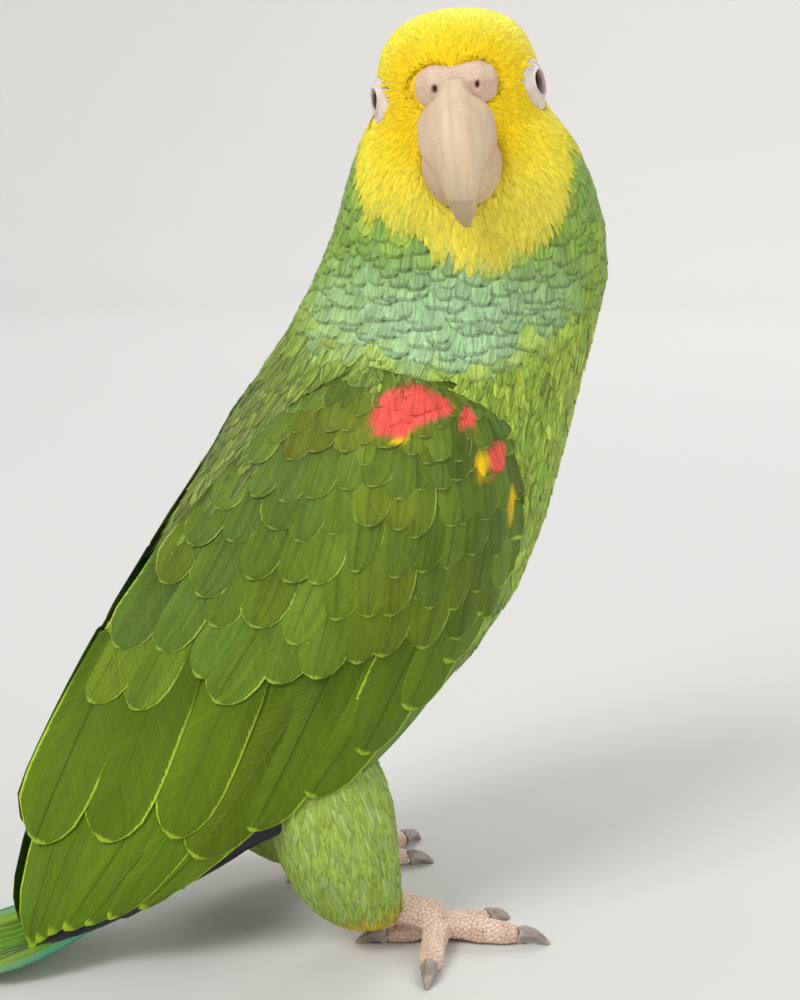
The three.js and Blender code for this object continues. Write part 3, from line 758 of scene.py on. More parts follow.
def surface_form(name, nodes, voxel, rounds):
    """A smooth closed surface round CAD nodes."""
    piece = joined_nodes(name, nodes, set_in=SET_IN)
    return plain_mesh(
        piece,
        ("REMESH", {"mode": "VOXEL", "voxel_size": voxel / 1000}),
        ("SMOOTH", {"factor": 0.6, "iterations": rounds}),
    )


def flesh_skin(form):
    """The one skin, inside the solids by the depth of the coat and under the feathers' form."""
    skin = surface_form("skin", FLESH + SET_IN[:3], 1.4, 6)
    mesh = skin.data
    places = to_bird(corners(mesh))
    depth = coat_depth(places) / 1000
    at = corners(mesh) - normals(mesh) * depth[:, None]
    # Over the head the skin also stays under the form that the feathers lie on.
    tree = BVHTree.FromPolygons(corners(form.piece.data).tolist(), form.tris.tolist())
    for i in np.flatnonzero(places[:, 2] > 195):
        near, out, _, _ = tree.find_nearest(Vector(at[i]))
        high = (Vector(at[i]) - near).dot(out)
        if high > -depth[i]:
            at[i] = near - out * depth[i]
    move_corners(mesh, at)
    tint, _ = plumage(places)
    # Painted shade: the skin seen between the feathers is darkened to 0.45 of the plumage's tint; under the
    # yellow head it is painted lighter instead, at 1.1, and low on the belly it is darkened less.
    unshaded_share = np.maximum(ease(yellow_share(places), 0, 1), 0.5 * ease(-places[:, 2], -70, -55))[:, None]
    colour_layer(mesh, "tint", tint * mix(0.45, 1.1, unshaded_share))
    finished(skin, skin_material(), "green", *FLESH)


# ---- body feathers ------------------------------------------------------------------------
def vane_template(name, stations, widths, across, thick, camber, held=0.0, comb=0.0):
    """One feather's closed vane, x -1 to 1 across, its heights as an attribute; held is the share of
    its length at which it is set on its place, comb the depth of the notches in its end."""
    ring_x = list(np.linspace(-1, 1, across)) + [0.0]
    count = len(ring_x)
    verts, rise, u = [], [], []
    for s, w in zip(stations, widths):
        for k, x in enumerate(ring_x):
            notch = comb * (k % 2) * float(ease(s, 0.8, 1)) if k < count - 1 else 0.0
            verts.append((x * w, s - held - notch, 0))
            top = thick * (1 - 0.6 * abs(x)) + camber * (1 - x * x)
            rise.append(top if k < count - 1 else 0.0)
            u.append((x + 1) / 2)
    mesh = bpy.data.meshes.new(name)
    mesh.from_pydata(verts, [], tube_faces(len(stations), count))
    mesh.update()
    along = [min(max(v[1] + held, 0), 1) for v in verts]
    for label, values in (("rise", rise), ("along", along), ("across", [2 * x - 1 for x in u])):
        mark(mesh, label, "FLOAT", values)
    mesh.polygons.foreach_set("use_smooth", [True] * len(mesh.polygons))
    # The rims and the end are sharp, so that the smooth shading of the top stays clean.
    last, rims = (len(stations) - 1) * count, {0, across - 1}
    sharp = mesh.attributes.new("sharp_edge", "BOOLEAN", "EDGE")
    sharp.data.foreach_set("value", [
        min(a, b) >= last or (a % count == b % count and a % count in rims)
        for a, b in (edge.vertices for edge in mesh.edges)])
    template = bpy.data.objects.new(name, mesh)
    template["map"] = [c for pair in zip(u, along) for c in pair]
    return template


def feather_tree():
    """Geometry nodes that set vanes on their roots and lay them along a form."""
    inputs = [("Roots", "Geometry", None), ("Vane", "Object", None), ("Form", "Object", None),
              ("Finish", "Material", None), ("Curl", "Float", None)]
    g, get, out, identifiers = new_group("Lay feathers", "GeometryNodeTree", inputs,
                                         [("Feathers", "Geometry")])

    def named(label, kind="FLOAT"):
        return g.value("GeometryNodeInputNamedAttribute", "Attribute", _data_type=kind, Name=label)

    vane, form = (g.value("GeometryNodeObjectInfo", "Geometry", Object=get[label])
                  for label in ("Vane", "Form"))
    turn = g.value("FunctionNodeAxesToRotation", _primary_axis="Z", _secondary_axis="Y",
                   i0=named("out", "FLOAT_VECTOR"), i1=named("lie", "FLOAT_VECTOR"))
    feathers = g.value("GeometryNodeInstanceOnPoints", Points=get["Roots"], Instance=vane, Rotation=turn,
                       Scale=named("size", "FLOAT_VECTOR"))
    feathers = g.value("GeometryNodeRealizeInstances", i0=feathers)
    near = g.value("GeometryNodeProximity", "Position", _target_element="FACES", i0=form)
    facing = g.value("GeometryNodeSampleNearestSurface", "Value", _data_type="FLOAT_VECTOR", Mesh=form,
                     Value=g.value("GeometryNodeInputNormal"))
    height = named("rise") + named("lift") * g.math("POWER", named("along"), get["Curl"])
    height = height + named("root") + named("tilt") * named("across")
    rise = g.value("ShaderNodeVectorMath", _operation="SCALE", i0=facing, Scale=height)
    laid = g.value("ShaderNodeVectorMath", _operation="ADD", i0=near, i1=rise)
    feathers = g.value("GeometryNodeSetPosition", Geometry=feathers, Position=laid)
    feathers = g.value("GeometryNodeSetMaterial", Geometry=feathers, Material=get["Finish"])
    g.feed(out["Feathers"], feathers)
    return g.tree, identifiers


FEATHER_TREE, FEATHER_SOCKETS = feather_tree()


class Form:
    def __init__(self, piece):
        self.piece = piece
        mesh = piece.data
        mesh.calc_loop_triangles()
        self.places = to_bird(corners(mesh))
        self.normals = normals(mesh) @ YAWED
        tris = np.empty(len(mesh.loop_triangles) * 3, int)
        mesh.loop_triangles.foreach_get("vertices", tris)
        self.tris = tris.reshape(-1, 3)

    def scatter(self, count, rng):
        """Even random places over the surface, with their normals."""
        a, b, c = (self.places[self.tris[:, k]] for k in range(3))
        area = np.linalg.norm(np.cross(b - a, c - a), axis=1)
        pick = rng.choice(len(area), count, p=area / area.sum())
        u, v = rng.uniform(size=(2, count))
        flip = u + v > 1
        u, v = np.where(flip, 1 - u, u)[:, None], np.where(flip, 1 - v, v)[:, None]
        places = a[pick] + u * (b - a)[pick] + v * (c - a)[pick]
        na, nb, nc = (self.normals[self.tris[pick, k]] for k in range(3))
        return places, unit(na + u * (nb - na) + v * (nc - na))


def spaced(places, distance):
    """Indices of places kept so that no two lie nearer than their distance."""
    tree = near_tree(places)
    taken = np.zeros(len(places), bool)
    kept = []
    for i, place in enumerate(places):
        if not taken[i]:
            kept.append(i)
            taken[[j for _, j, _ in tree.find_range(place, float(distance[i]))]] = True
    return np.array(kept, int)


def bake_map(places):
    """Each root's place on the skin unrolled round the bird's leaning axis."""
    axis_x = np.minimum(8 + (places[:, 2] - 120) * 0.45, 12)
    angle = np.arctan2(places[:, 1], places[:, 0] - axis_x) / (2 * math.pi) + 0.5
    along = np.clip((places[:, 2] + 10) / 275, 0, 1)
    return np.stack([0.01 + 0.98 * angle, 0.01 + 0.98 * along], 1)


def atlas_patch(count, share, margin=0.05):
    """Places on the bake map for long feathers, each in its own cell of a square grid."""
    cells = math.ceil(math.sqrt(count))
    corner = np.stack([np.arange(count) % cells, np.arange(count) // cells], 1) / cells
    return corner[:, None] + (margin + (1 - 2 * margin) * share) / cells


def lay_feathers(name, form, roots, out, lie, look, template, material, slot_name, curl=1.6,
                 atlas=False, spots=False):
    """A tract of vanes on the form. look holds each root's sizes, lifts and colours; an atlas gives
    every feather its own cell of the bake map, and spots adds those at the bend of the wing."""
    count = len(roots)
    mesh = bpy.data.meshes.new(name + "_roots")
    mesh.from_pydata(to_frame(roots).tolist(), [], [])
    vectors = {"out": out @ YAWED.T, "lie": lie @ YAWED.T,
               "size": np.stack([look["wide"] / 2, look["long"], np.ones(count)], 1) / (1000, 1000, 1)}
    for label, values in vectors.items():
        mark(mesh, label, "FLOAT_VECTOR", values)
    for label in ("lift", "root", "tilt"):
        mark(mesh, label, "FLOAT", look[label] / 1000)
    piece = linked(name, mesh)
    modifier = piece.modifiers.new("Lay feathers", "NODES")
    modifier.node_group = FEATHER_TREE
    for label, value in (("Vane", template), ("Form", form.piece), ("Finish", material), ("Curl", curl)):
        modifier[FEATHER_SOCKETS[label]] = value
    plain_mesh(piece)
    made = piece.data
    each = len(template.data.vertices)
    if len(made.vertices) != each * count:
        raise ValueError(f"{name}: {len(made.vertices)} corners for {count} feathers of {each}")
    share = np.array(template["map"]).reshape(-1, 2)
    uv_layer(made, "Vane", np.tile(share, (count, 1)))
    if atlas:
        patch = atlas_patch(count, share)
    else:
        patch = bake_map(roots)[:, None] + (share - 0.5) * BAKE_PATCH
    uv_layer(made, "OFBake", patch.reshape(-1, 2))
    colours = {label: np.repeat(look[label], each, 0) for label in ("tint", "fringe", "ways")}
    if spots:
        for label in ("tint", "fringe"):
            colours[label] = wing_spots(to_bird(corners(made)), colours[label])
    for label, values in colours.items():
        colour_layer(made, label, values)
    for label in ("out", "lie", "size", "lift", "root", "tilt", "rise", "along", "across"):
        if label in made.attributes:
            made.attributes.remove(made.attributes[label])
    return finished(piece, material, slot_name)


def head_flow(places):
    """Lie of the head's feathers: away from the bill, back and down."""
    h = to_head(places)
    away = h - (22, 0, -6)
    away[:, 2] -= 6
    away = unit(away) + (0, 0, -0.35)
    return away @ HEAD_FRAME[:3, :3].T


def body_flow(places):
    """Lie of the feathers: off the face, down the neck, then back along the trunk."""
    height = places[:, 2:3]
    fore = ease(places[:, 0:1] + 0.55 * (height - 120), -20, 40)
    back = unit(mix(np.array([-0.62, 0, -0.78]), np.array([-0.2, 0, -0.98]), fore))
    vent = ease(-height, -85, -50)
    back = unit(mix(back, np.array([-0.9, 0, -0.43]), vent))
    neck = ease(height, 168, 196)
    flow = mix(back, np.array([0.0, 0, -1.0]), neck)
    crown = ease(height, 190, 212)
    return unit(mix(flow, unit(head_flow(places)), crown))


def tangent(lie, out):
    """lie laid flat on the surface that faces out."""
    return unit(lie - out * (lie * out).sum(1, keepdims=True))


def turned(lie, out, angle):
    """lie turned about out."""
    side = np.cross(out, lie)
    return lie * np.cos(angle)[:, None] + side * np.sin(angle)[:, None]


HEAD_VANE = vane_template("head_vane", (0, 0.4, 0.75, 1), (0.5, 1, 0.7, 0.08), 3, 3e-5, 7e-5)
SCALE_VANE = vane_template(
    "scale_vane", (0, 0.25, 0.5, 0.74, 0.9, 1), (0.35, 0.85, 1, 1, 0.86, 0.5), 11, 8e-5, 1e-4, comb=0.08)
SOFT_VANE = vane_template(
    "soft_vane", (0, 0.25, 0.5, 0.75, 0.92, 1), (0.4, 0.9, 1, 0.92, 0.66, 0.34), 7, 8e-5, 1.6e-4, comb=0.07)
STREAK_VANE = vane_template(
    "streak_vane", (0, 0.25, 0.55, 0.82, 1), (0.4, 0.9, 1, 0.7, 0.12), 3, 1.2e-4, 2.4e-4)
SMALL_VANE = vane_template(
    "small_vane", (0, 0.25, 0.5, 0.72, 0.88, 0.97, 1), (0.35, 0.85, 1, 0.95, 0.7, 0.35, 0.12),
    5, 1.2e-4, 2.5e-4, held=0.5)
COVERT_VANE = vane_template(
    "covert_vane", (0, 0.12, 0.28, 0.46, 0.64, 0.78, 0.88, 0.95, 0.985, 1),
    (0.2, 0.6, 0.9, 1, 1, 0.95, 0.8, 0.55, 0.3, 0.12), 7, 1.6e-4, 8e-4, held=0.5)
FLIGHT_VANE = vane_template(
    "flight_vane", (0, 0.08, 0.2, 0.34, 0.48, 0.62, 0.75, 0.86, 0.93, 0.97, 0.99, 1),
    (0.3, 0.7, 0.92, 1, 1, 1, 0.96, 0.85, 0.64, 0.42, 0.26, 0.1), 7, 2e-4, 6e-4, held=0.5)


def feather_look(roots, zone, rng, colours):
    """Sizes, lifts and colours of one tract's feathers."""
    count = len(roots)
    vary = rng.uniform(0.85, 1.15, (2, count))
    tint, fringe = colours
    bright = rng.uniform(0.86, 1.1, (count, 1))
    ways = np.stack([np.full(count, zone["rachis"]), zone["streak"] * rng.uniform(0.3, 1, count),
                     rng.uniform(0, 1, count)], 1)
    return {"wide": zone["wide"] * vary[0], "long": zone["long"] * vary[1],
            "lift": zone["lift"] * rng.uniform(0.7, 1.15, count), "root": np.full(count, -zone["sink"]),
            "tilt": np.zeros(count), "tint": tint * bright, "fringe": fringe * bright, "ways": ways}


def clear_of_bare(places):
    """True where feathers grow: not on the bill, the cere or the bare eye rings."""
    h = to_head(places)
    keep = np.ones(len(places), bool)
    for side in (-1, 1):
        ahead = np.where(h[:, 0] > EYE["x"], FOLDS["long"] + 3.0, FOLDS["long"] - 0.8)
        above = np.where(h[:, 2] > EYE["z"], FOLDS["tall"] + 0.9, FOLDS["tall"] - 0.3)
        off = np.hypot((h[:, 0] - EYE["x"]) / ahead, (h[:, 2] - EYE["z"]) / above)
        keep &= (off > 1) | (h[:, 1] * side < 8)
        off = h - (CERE["x"], side * CERE["side"] + 0.7, CERE["z"])
        keep &= ((off / (CERE["thick"] - 2, CERE["half"] - 2, CERE["tall"] - 2)) ** 2).sum(1) > 1
    keep &= (h[:, 0] < 15) | (np.abs(h[:, 1] - 0.5) > 3) | (np.abs(h[:, 2] - 4) > 4)
    bill = (h[:, 0] > 14) & (np.abs(h[:, 1]) < 7.4) & (h[:, 2] < 1) & (h[:, 2] > JAW["z"])
    low = (h[:, 1] / (JAW["half"] - 2.6)) ** 2 + ((h[:, 2] - JAW["z"]) / (JAW["deep"] - 2.6)) ** 2
    jaw = (h[:, 0] > 14) & (h[:, 2] <= JAW["z"]) & (low < 1)
    return keep & ~bill & ~jaw


def wing_cover(places):
    """How far each place is from the nearest wing, and that spot's p and q."""
    p, q = np.meshgrid(np.linspace(0, 1, 60), np.linspace(0, 1, 30), indexing="ij")
    tree = near_tree(on_wing(p.ravel(), q.ravel()))
    folded = places * (1, 0, 1) + np.abs(places) * (0, 1, 0)
    found = [tree.find(place) for place in folded]
    near = np.array([f[2] for f in found])
    index = np.array([f[1] for f in found])
    return near, p.ravel()[index], q.ravel()[index]


def feather_places(form, rng):
    """Places on the body where feathers may root, clear of bare skin and of the folded wings."""
    places, out = form.scatter(700000, rng)
    keep = clear_of_bare(places) & (places[:, 2] > 40)
    keep &= (yellow_share(places) > 0) | (rng.uniform(0, 1, len(places)) < 0.14)
    places, out = places[keep], out[keep]
    near, p, q = wing_cover(places)
    under = (near < 20) & (q > 0.03) & (q < 0.985) & (p > 0.012) & (p < 0.985)
    shoulder = ((q < 0.03) & (p < 0.3)) | (p < 0.02)
    keep = ~under & (near > np.where(shoulder, 1.0, 4.5))
    return places[keep], out[keep]


# Tracts: spacing, width and length of the feathers, how far their tips stand off and their roots are
# sunk, strength of shaft and streaks, how much they turn out of line, vane and slot.
ROW_WORDS = ("gap", "wide", "long", "lift", "sink", "rachis", "streak", "turn", "vane", "slot")
HEAD_ROW = (0.82, 1.8, 7.0, 0.24, 0.26, 0.2, 0.0, 0.12, HEAD_VANE, "yellow")
BODY_TRACTS = {
    "face_feathers": HEAD_ROW,
    "crown_feathers": HEAD_ROW,
    "ruff_feathers": (2.95, 8.8, 11, 0.42, 0.55, 0.6, 0.0, 0.13, SCALE_VANE, "aqua"),
    "breast_feathers": (2.3, 4.8, 12.5, 0.6, 0.7, 0.6, 0.5, 0.16, SOFT_VANE, "green"),
    "mantle_feathers": (2.1, 3.8, 14.5, 0.7, 0.75, 0.7, 0.7, 0.16, SOFT_VANE, "green"),
}
THIGH_ROW = (1.35, 2.3, 13, 0.6, 0.6, 0.3, 0.2, 0.13, STREAK_VANE, "green")


def body_tracts(form, thigh_form):
    """The feathers of face, crown, ruff, breast, mantle and thighs."""
    rng = np.random.default_rng(SEED)
    places, out = feather_places(form, rng)
    yellow, ruff = yellow_share(places), ruff_share(places)
    flick = rng.uniform(0, 1, len(places))
    zone_of = np.where(yellow > 0.15 + 0.7 * flick, 0, np.where(ruff + yellow > 0.3 + 0.4 * flick, 2, 3))
    zone_of = np.where((zone_of == 0) & (to_head(places)[:, 0] < 6), 1, zone_of)
    back = ease(-places[:, 0] - 0.45 * (places[:, 2] - 120), -12, 10) > 0.5
    zone_of = np.where((zone_of == 3) & back, 4, zone_of)
    head_finish = plumage_material("head plumage", 14, 0.08, 0.00012, 0.7, Hair=0.22, Fringe_width=0.3,
                                   Fringe_share=0.2, Rachis=0.1, Root_shade=0.08)
    ruff_finish = plumage_material("ruff plumage", 30, 0.1, 0.00015, Hair=0.5, Fringe_width=0.2,
                                   Fringe_share=0.5, Fringe_sides=0.75, Rachis=0.4, Root_shade=0.15)
    body_finish = plumage_material("body plumage", 26, 0.12, 0.00015, Hair=1.0, Fringe_width=0.2,
                                   Fringe_share=0.25, Rachis=0.6, Root_shade=0.25)
    finishes = (head_finish, head_finish, ruff_finish, body_finish, body_finish)
    for number, ((name, row), finish) in enumerate(zip(BODY_TRACTS.items(), finishes)):
        zone = dict(zip(ROW_WORDS, row))
        roots, away = places[zone_of == number], out[zone_of == number]
        face = ease(-np.linalg.norm(to_head(roots) - (20, 0, 0), axis=1), -28, -14)
        kept = spaced(roots, zone["gap"] * (1 - 0.3 * face))
        roots, away, face = roots[kept], away[kept], face[kept]
        lie = tangent(body_flow(roots), away)
        lie = turned(lie, away, rng.normal(0, zone["turn"], len(roots)))
        look = feather_look(roots, zone, rng, plumage(roots, number < 2))
        look["long"] *= 1 - 0.4 * face
        look["wide"] *= 1 - 0.3 * face
        lay_feathers(name, form, roots, away, lie, look, zone["vane"], finish, zone["slot"],
                     spots=number > 1)
    thigh_feathers(thigh_form, rng)


def thigh_feathers(form, rng):
    """Narrow feathers that hang down the thighs, shorter towards the feet."""
    finish = plumage_material("thigh plumage", 26, 0.1, 0.00015, 0.66, Hair=0.5, Fringe_width=0.2,
                              Fringe_share=0.2, Rachis=0.3, Root_shade=0.15)
    zone = dict(zip(ROW_WORDS, THIGH_ROW))
    places, out = form.scatter(40000, rng)
    keep = spaced(places, np.full(len(places), zone["gap"]))
    roots, out = places[keep], out[keep]
    lie = tangent(np.tile([0.12, 0, -1.0], (len(roots), 1)), out)
    lie = turned(lie, out, rng.normal(0, zone["turn"], len(roots)))
    look = feather_look(roots, zone, rng, thigh_plumage(roots))
    low = ease(-roots[:, 2], -18, -9)
    look["long"] *= 1 - 0.5 * low
    look["wide"] *= 1 - 0.3 * low
    lay_feathers("thigh_feathers", form, roots, out, lie, look, zone["vane"], finish, zone["slot"])


# ---- wing and tail feathers ---------------------------------------------------------------
# Rows of wing feathers from the deepest to the outermost. tip is the share of the wing's length at
# its upper and lower edge where the row's tips lie, deep how far the row lies under the surface, and
# down how far it takes the flight feathers' colour.
COVERT_ROWS = (
    {"tip": (0.54, 0.4), "count": 11, "wide": 17, "long": 44, "deep": 1.0, "down": 0.6},
    {"tip": (0.46, 0.335), "count": 12, "wide": 15.5, "long": 36, "deep": 0.8, "down": 0.45},
    {"tip": (0.385, 0.275), "count": 12, "wide": 14, "long": 31, "deep": 0.65, "down": 0.35},
    {"tip": (0.32, 0.222), "count": 13, "wide": 13, "long": 27, "deep": 0.5, "down": 0.25},
    {"tip": (0.258, 0.178), "count": 14, "wide": 12, "long": 23, "deep": 0.35, "down": 0.1},
    {"tip": (0.205, 0.14), "count": 14, "wide": 11, "long": 20, "deep": 0.2, "down": 0.05},
    {"tip": (0.158, 0.105), "count": 14, "wide": 10, "long": 17, "deep": 0.1, "down": 0.0},
    {"tip": (0.118, 0.076), "count": 14, "wide": 8.6, "long": 14, "deep": 0.05, "down": 0.0},
)
# Flight feathers of one wing: each row's tips run from the first (p, q) to the last.
FLIGHT_ROWS = (
    {"layer": "primaries", "first": (0.84, 0.985), "last": (0.99, 0.8), "count": 6, "wide": 11, "long": 44,
     "deep": 2.6, "aim": (54, 42)},
    {"layer": "secondaries", "first": (0.88, 0.95), "last": (0.985, 0.2), "count": 7, "wide": 17, "long": 100,
     "deep": 1.9, "aim": (46, 24)},
    {"layer": "secondaries", "first": (0.2, 1.0), "last": (0.76, 0.72), "count": 10, "wide": 21, "long": 62,
     "deep": 1.3, "aim": (20, 27)},
    {"layer": "secondaries", "first": (0.71, 0.5), "last": (0.75, 0.08), "count": 3, "wide": 21, "long": 66,
     "deep": 1.0, "aim": (25, 25)},
)


class WingSheet:
    """One wing's surface: a thin closed slab that its feathers lie on, and close places on its outer
    side with their outward directions."""

    def __init__(self, side):
        p, q = np.meshgrid(np.linspace(0, 1, 90), np.linspace(-0.04, 1.02, 54), indexing="ij")
        self.piece = slab(f"wing_form_{side}", side, p, q, 0 * p, 0 * p + 5)
        for face in self.piece.data.polygons:
            face.use_smooth = True
        p, q = (v.ravel() for v in np.meshgrid(np.linspace(0, 1, 240), np.linspace(0, 1, 140), indexing="ij"))
        self.places = wing_place(side, p, q, np.zeros_like(p))
        self.out = unit(self.places - wing_place(side, p, q, np.ones_like(p)))
        self.tree = near_tree(self.places)

    def nearest(self, points):
        found = np.array([self.tree.find(point)[1] for point in points])
        return self.places[found], self.out[found]


def slab(name, side, p, q, upper, lower):
    """A closed sheet of the wing between two depths."""
    ring = np.concatenate([wing_place(side, p, q, upper), wing_place(side, p, q, lower)[:, ::-1]], 1)
    return closed_mesh(name, ring.reshape(-1, 3), tube_faces(len(ring), ring.shape[1]))


def wing_bed(name, side, finish):
    """A thin green bed under the wing's feathers."""
    p, q = np.meshgrid(np.linspace(0.0, 0.62, 40), np.linspace(0.0, 0.96, 18), indexing="ij")
    depth = 3.4 + 0.6 * ease(p, 0.4, 0.9) - 1.0 * (1 - ease(p, 0, 0.1)) - 1.0 * (1 - ease(q, 0, 0.12))
    finished(slab(f"wing_{name}_bed", side, p, q, depth, depth + 0.9), finish, "wing")


def covert_aim(x):
    """How far a covert's tip points back from straight down, in degrees, by its place along x."""
    front = mix(-14.0, 4.0, ease(-x, -22, 8))
    return mix(mix(front, 30.0, ease(-x, 24, 62)), 36.0, ease(-x, 62, 100))


def aimed(side, form, tips, degrees, long):
    """Middle, outward direction and lie of feathers that end at tips."""
    angle = np.radians(degrees)
    way = np.stack([-np.sin(angle), np.zeros_like(angle), -np.cos(angle)], 1)
    at_tip = tangent(way, form.nearest(tips)[1])
    middles, out = form.nearest(tips - at_tip * long[:, None] / 2)
    lie = tangent(tips - middles, out)
    return middles, out, lie


def wing_row(side, form, tips, degrees, row, rng, share, plume, dark=False):
    """Add one row's feathers, given by their tips, to a layer of the wing."""
    count = len(tips)
    long = row["long"] * rng.uniform(0.95, 1.05, count)
    middles, out, lie = aimed(side, form, tips, degrees + rng.normal(0, 4, count), long)
    tint, fringe = wing_plumage(tips - lie * 4, np.full(count, share))
    if dark:
        tint = np.tile(SLATE, (count, 1))
        fringe = np.tile(mix(SLATE, BRIGHT, 0.25), (count, 1))
    tint = tint * rng.uniform(0.82, 1.12, (count, 1))
    ways = np.stack([rng.uniform(0.4, 1.0, count), np.full(count, 0.1), rng.uniform(0, 1, count)], 1)
    plume.append({
        "roots": middles, "out": out, "lie": lie, "wide": row["wide"] * rng.uniform(0.9, 1.1, count),
        "long": long, "lift": rng.uniform(0.9, 1.7, count), "root": np.full(count, -row["deep"] - 0.95),
        "tilt": rng.uniform(0.1, 0.5, count) * side, "tint": tint, "fringe": fringe, "ways": ways})


def wing_pieces():
    """Both wings: coverts, secondaries and dark primaries, with small feathers over the bend."""
    covert_finish = plumage_material("wing covert vanes", 70, 0.14, 0.0003, 0.5, 0.14, Hair=0.3,
                                     Fringe_width=0.05, Fringe_share=0.85, Rachis=0.35, Root_shade=0.5)
    flight_finish = plumage_material("flight vanes", 120, 0.12, 0.0003, 0.45, 0.1, Hair=0.16,
                                     Fringe_width=0.05, Fringe_share=0.95, Rachis=0.5, Root_shade=0.3)
    dark_finish = plumage_material("dark flight vanes", 120, 0.12, 0.0002, 0.45, Hair=0.1,
                                   Fringe_width=0.1, Fringe_share=0.5, Rachis=0.5, Root_shade=0.1)
    looks = {"coverts": (COVERT_VANE, covert_finish, "wing"),
             "secondaries": (FLIGHT_VANE, flight_finish, "wing"),
             "primaries": (FLIGHT_VANE, dark_finish, "quill")}
    for name, side in SIDES:
        rng = np.random.default_rng(SEED + 20)
        form = WingSheet(side)
        layers = {layer: [] for layer in looks}
        for row in FLIGHT_ROWS:
            share = np.linspace(0, 1, row["count"])
            p, q = (mix(row["first"][k], row["last"][k], share) for k in (0, 1))
            tips = wing_place(side, p, q, np.zeros_like(p))
            wing_row(side, form, tips, mix(*row["aim"], share), row, rng, 0.75, layers[row["layer"]],
                     dark=row["layer"] == "primaries")
        for row in COVERT_ROWS:
            share = (np.arange(row["count"]) + 0.5) / row["count"]
            share = np.clip(share + rng.normal(0, 0.012, row["count"]), 0.02, 0.985)
            p = mix(*row["tip"], share**0.8) + rng.normal(0, 0.009, row["count"])
            tips = wing_place(side, p, share, np.zeros_like(p))
            wing_row(side, form, tips, covert_aim(tips[:, 0]), row, rng, row["down"], layers["coverts"])
        for layer, (vane, finish, slot_name) in looks.items():
            look = {key: np.concatenate([row[key] for row in layers[layer]]) for key in layers[layer][0]}
            made = lay_feathers(f"wing_{name}_{layer}_feathers", form, look["roots"], look["out"],
                                look["lie"], look, vane, finish, slot_name, curl=1.3, atlas=True,
                                spots=layer == "coverts")
            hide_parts(f"wing_{name}_{layer}")
        lesser_coverts(name, side, form, rng)
        bpy.data.objects.remove(form.piece)


def lesser_coverts(name, side, form, rng):
    """Small hairlike feathers over the bend of the wing, running on from the mantle."""
    finish = plumage_material(f"small covert vanes {name}", 26, 0.1, 0.00015, 0.6, Hair=0.6,
                              Fringe_width=0.12, Fringe_share=0.3, Rachis=0.5, Root_shade=0.25)
    p, q = rng.uniform(0, 0.125, 2600), rng.uniform(0, 1, 2600)
    kept = p < mix(0.122, 0.05, q)
    tips = wing_place(side, p[kept], q[kept], np.zeros(kept.sum()))
    tips = tips[spaced(tips, np.full(len(tips), 2.9))]
    count = len(tips)
    long = rng.uniform(9, 12, count)
    middles, out, lie = aimed(side, form, tips, covert_aim(tips[:, 0]) + rng.normal(0, 8, count), long)
    tint, fringe = wing_plumage(tips, np.zeros(count))
    tint = mix(tint, mix(LIME, AQUA_DEEP, 0.5), rng.uniform(0, 0.5, (count, 1)))
    ways = np.stack([rng.uniform(0.3, 1, count), rng.uniform(0.1, 0.6, count), rng.uniform(0, 1, count)], 1)
    look = {"wide": rng.uniform(4.6, 6.4, count), "long": long, "lift": rng.uniform(0.7, 1.1, count),
            "root": np.full(count, -0.7), "tilt": np.zeros(count), "tint": tint, "fringe": fringe,
            "ways": ways}
    made = lay_feathers(f"wing_{name}_lesser_feathers", form, middles, out, lie, look, SMALL_VANE, finish,
                        "wing", curl=1.3, atlas=True, spots=True)
    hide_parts(f"wing_{name}_coverts")


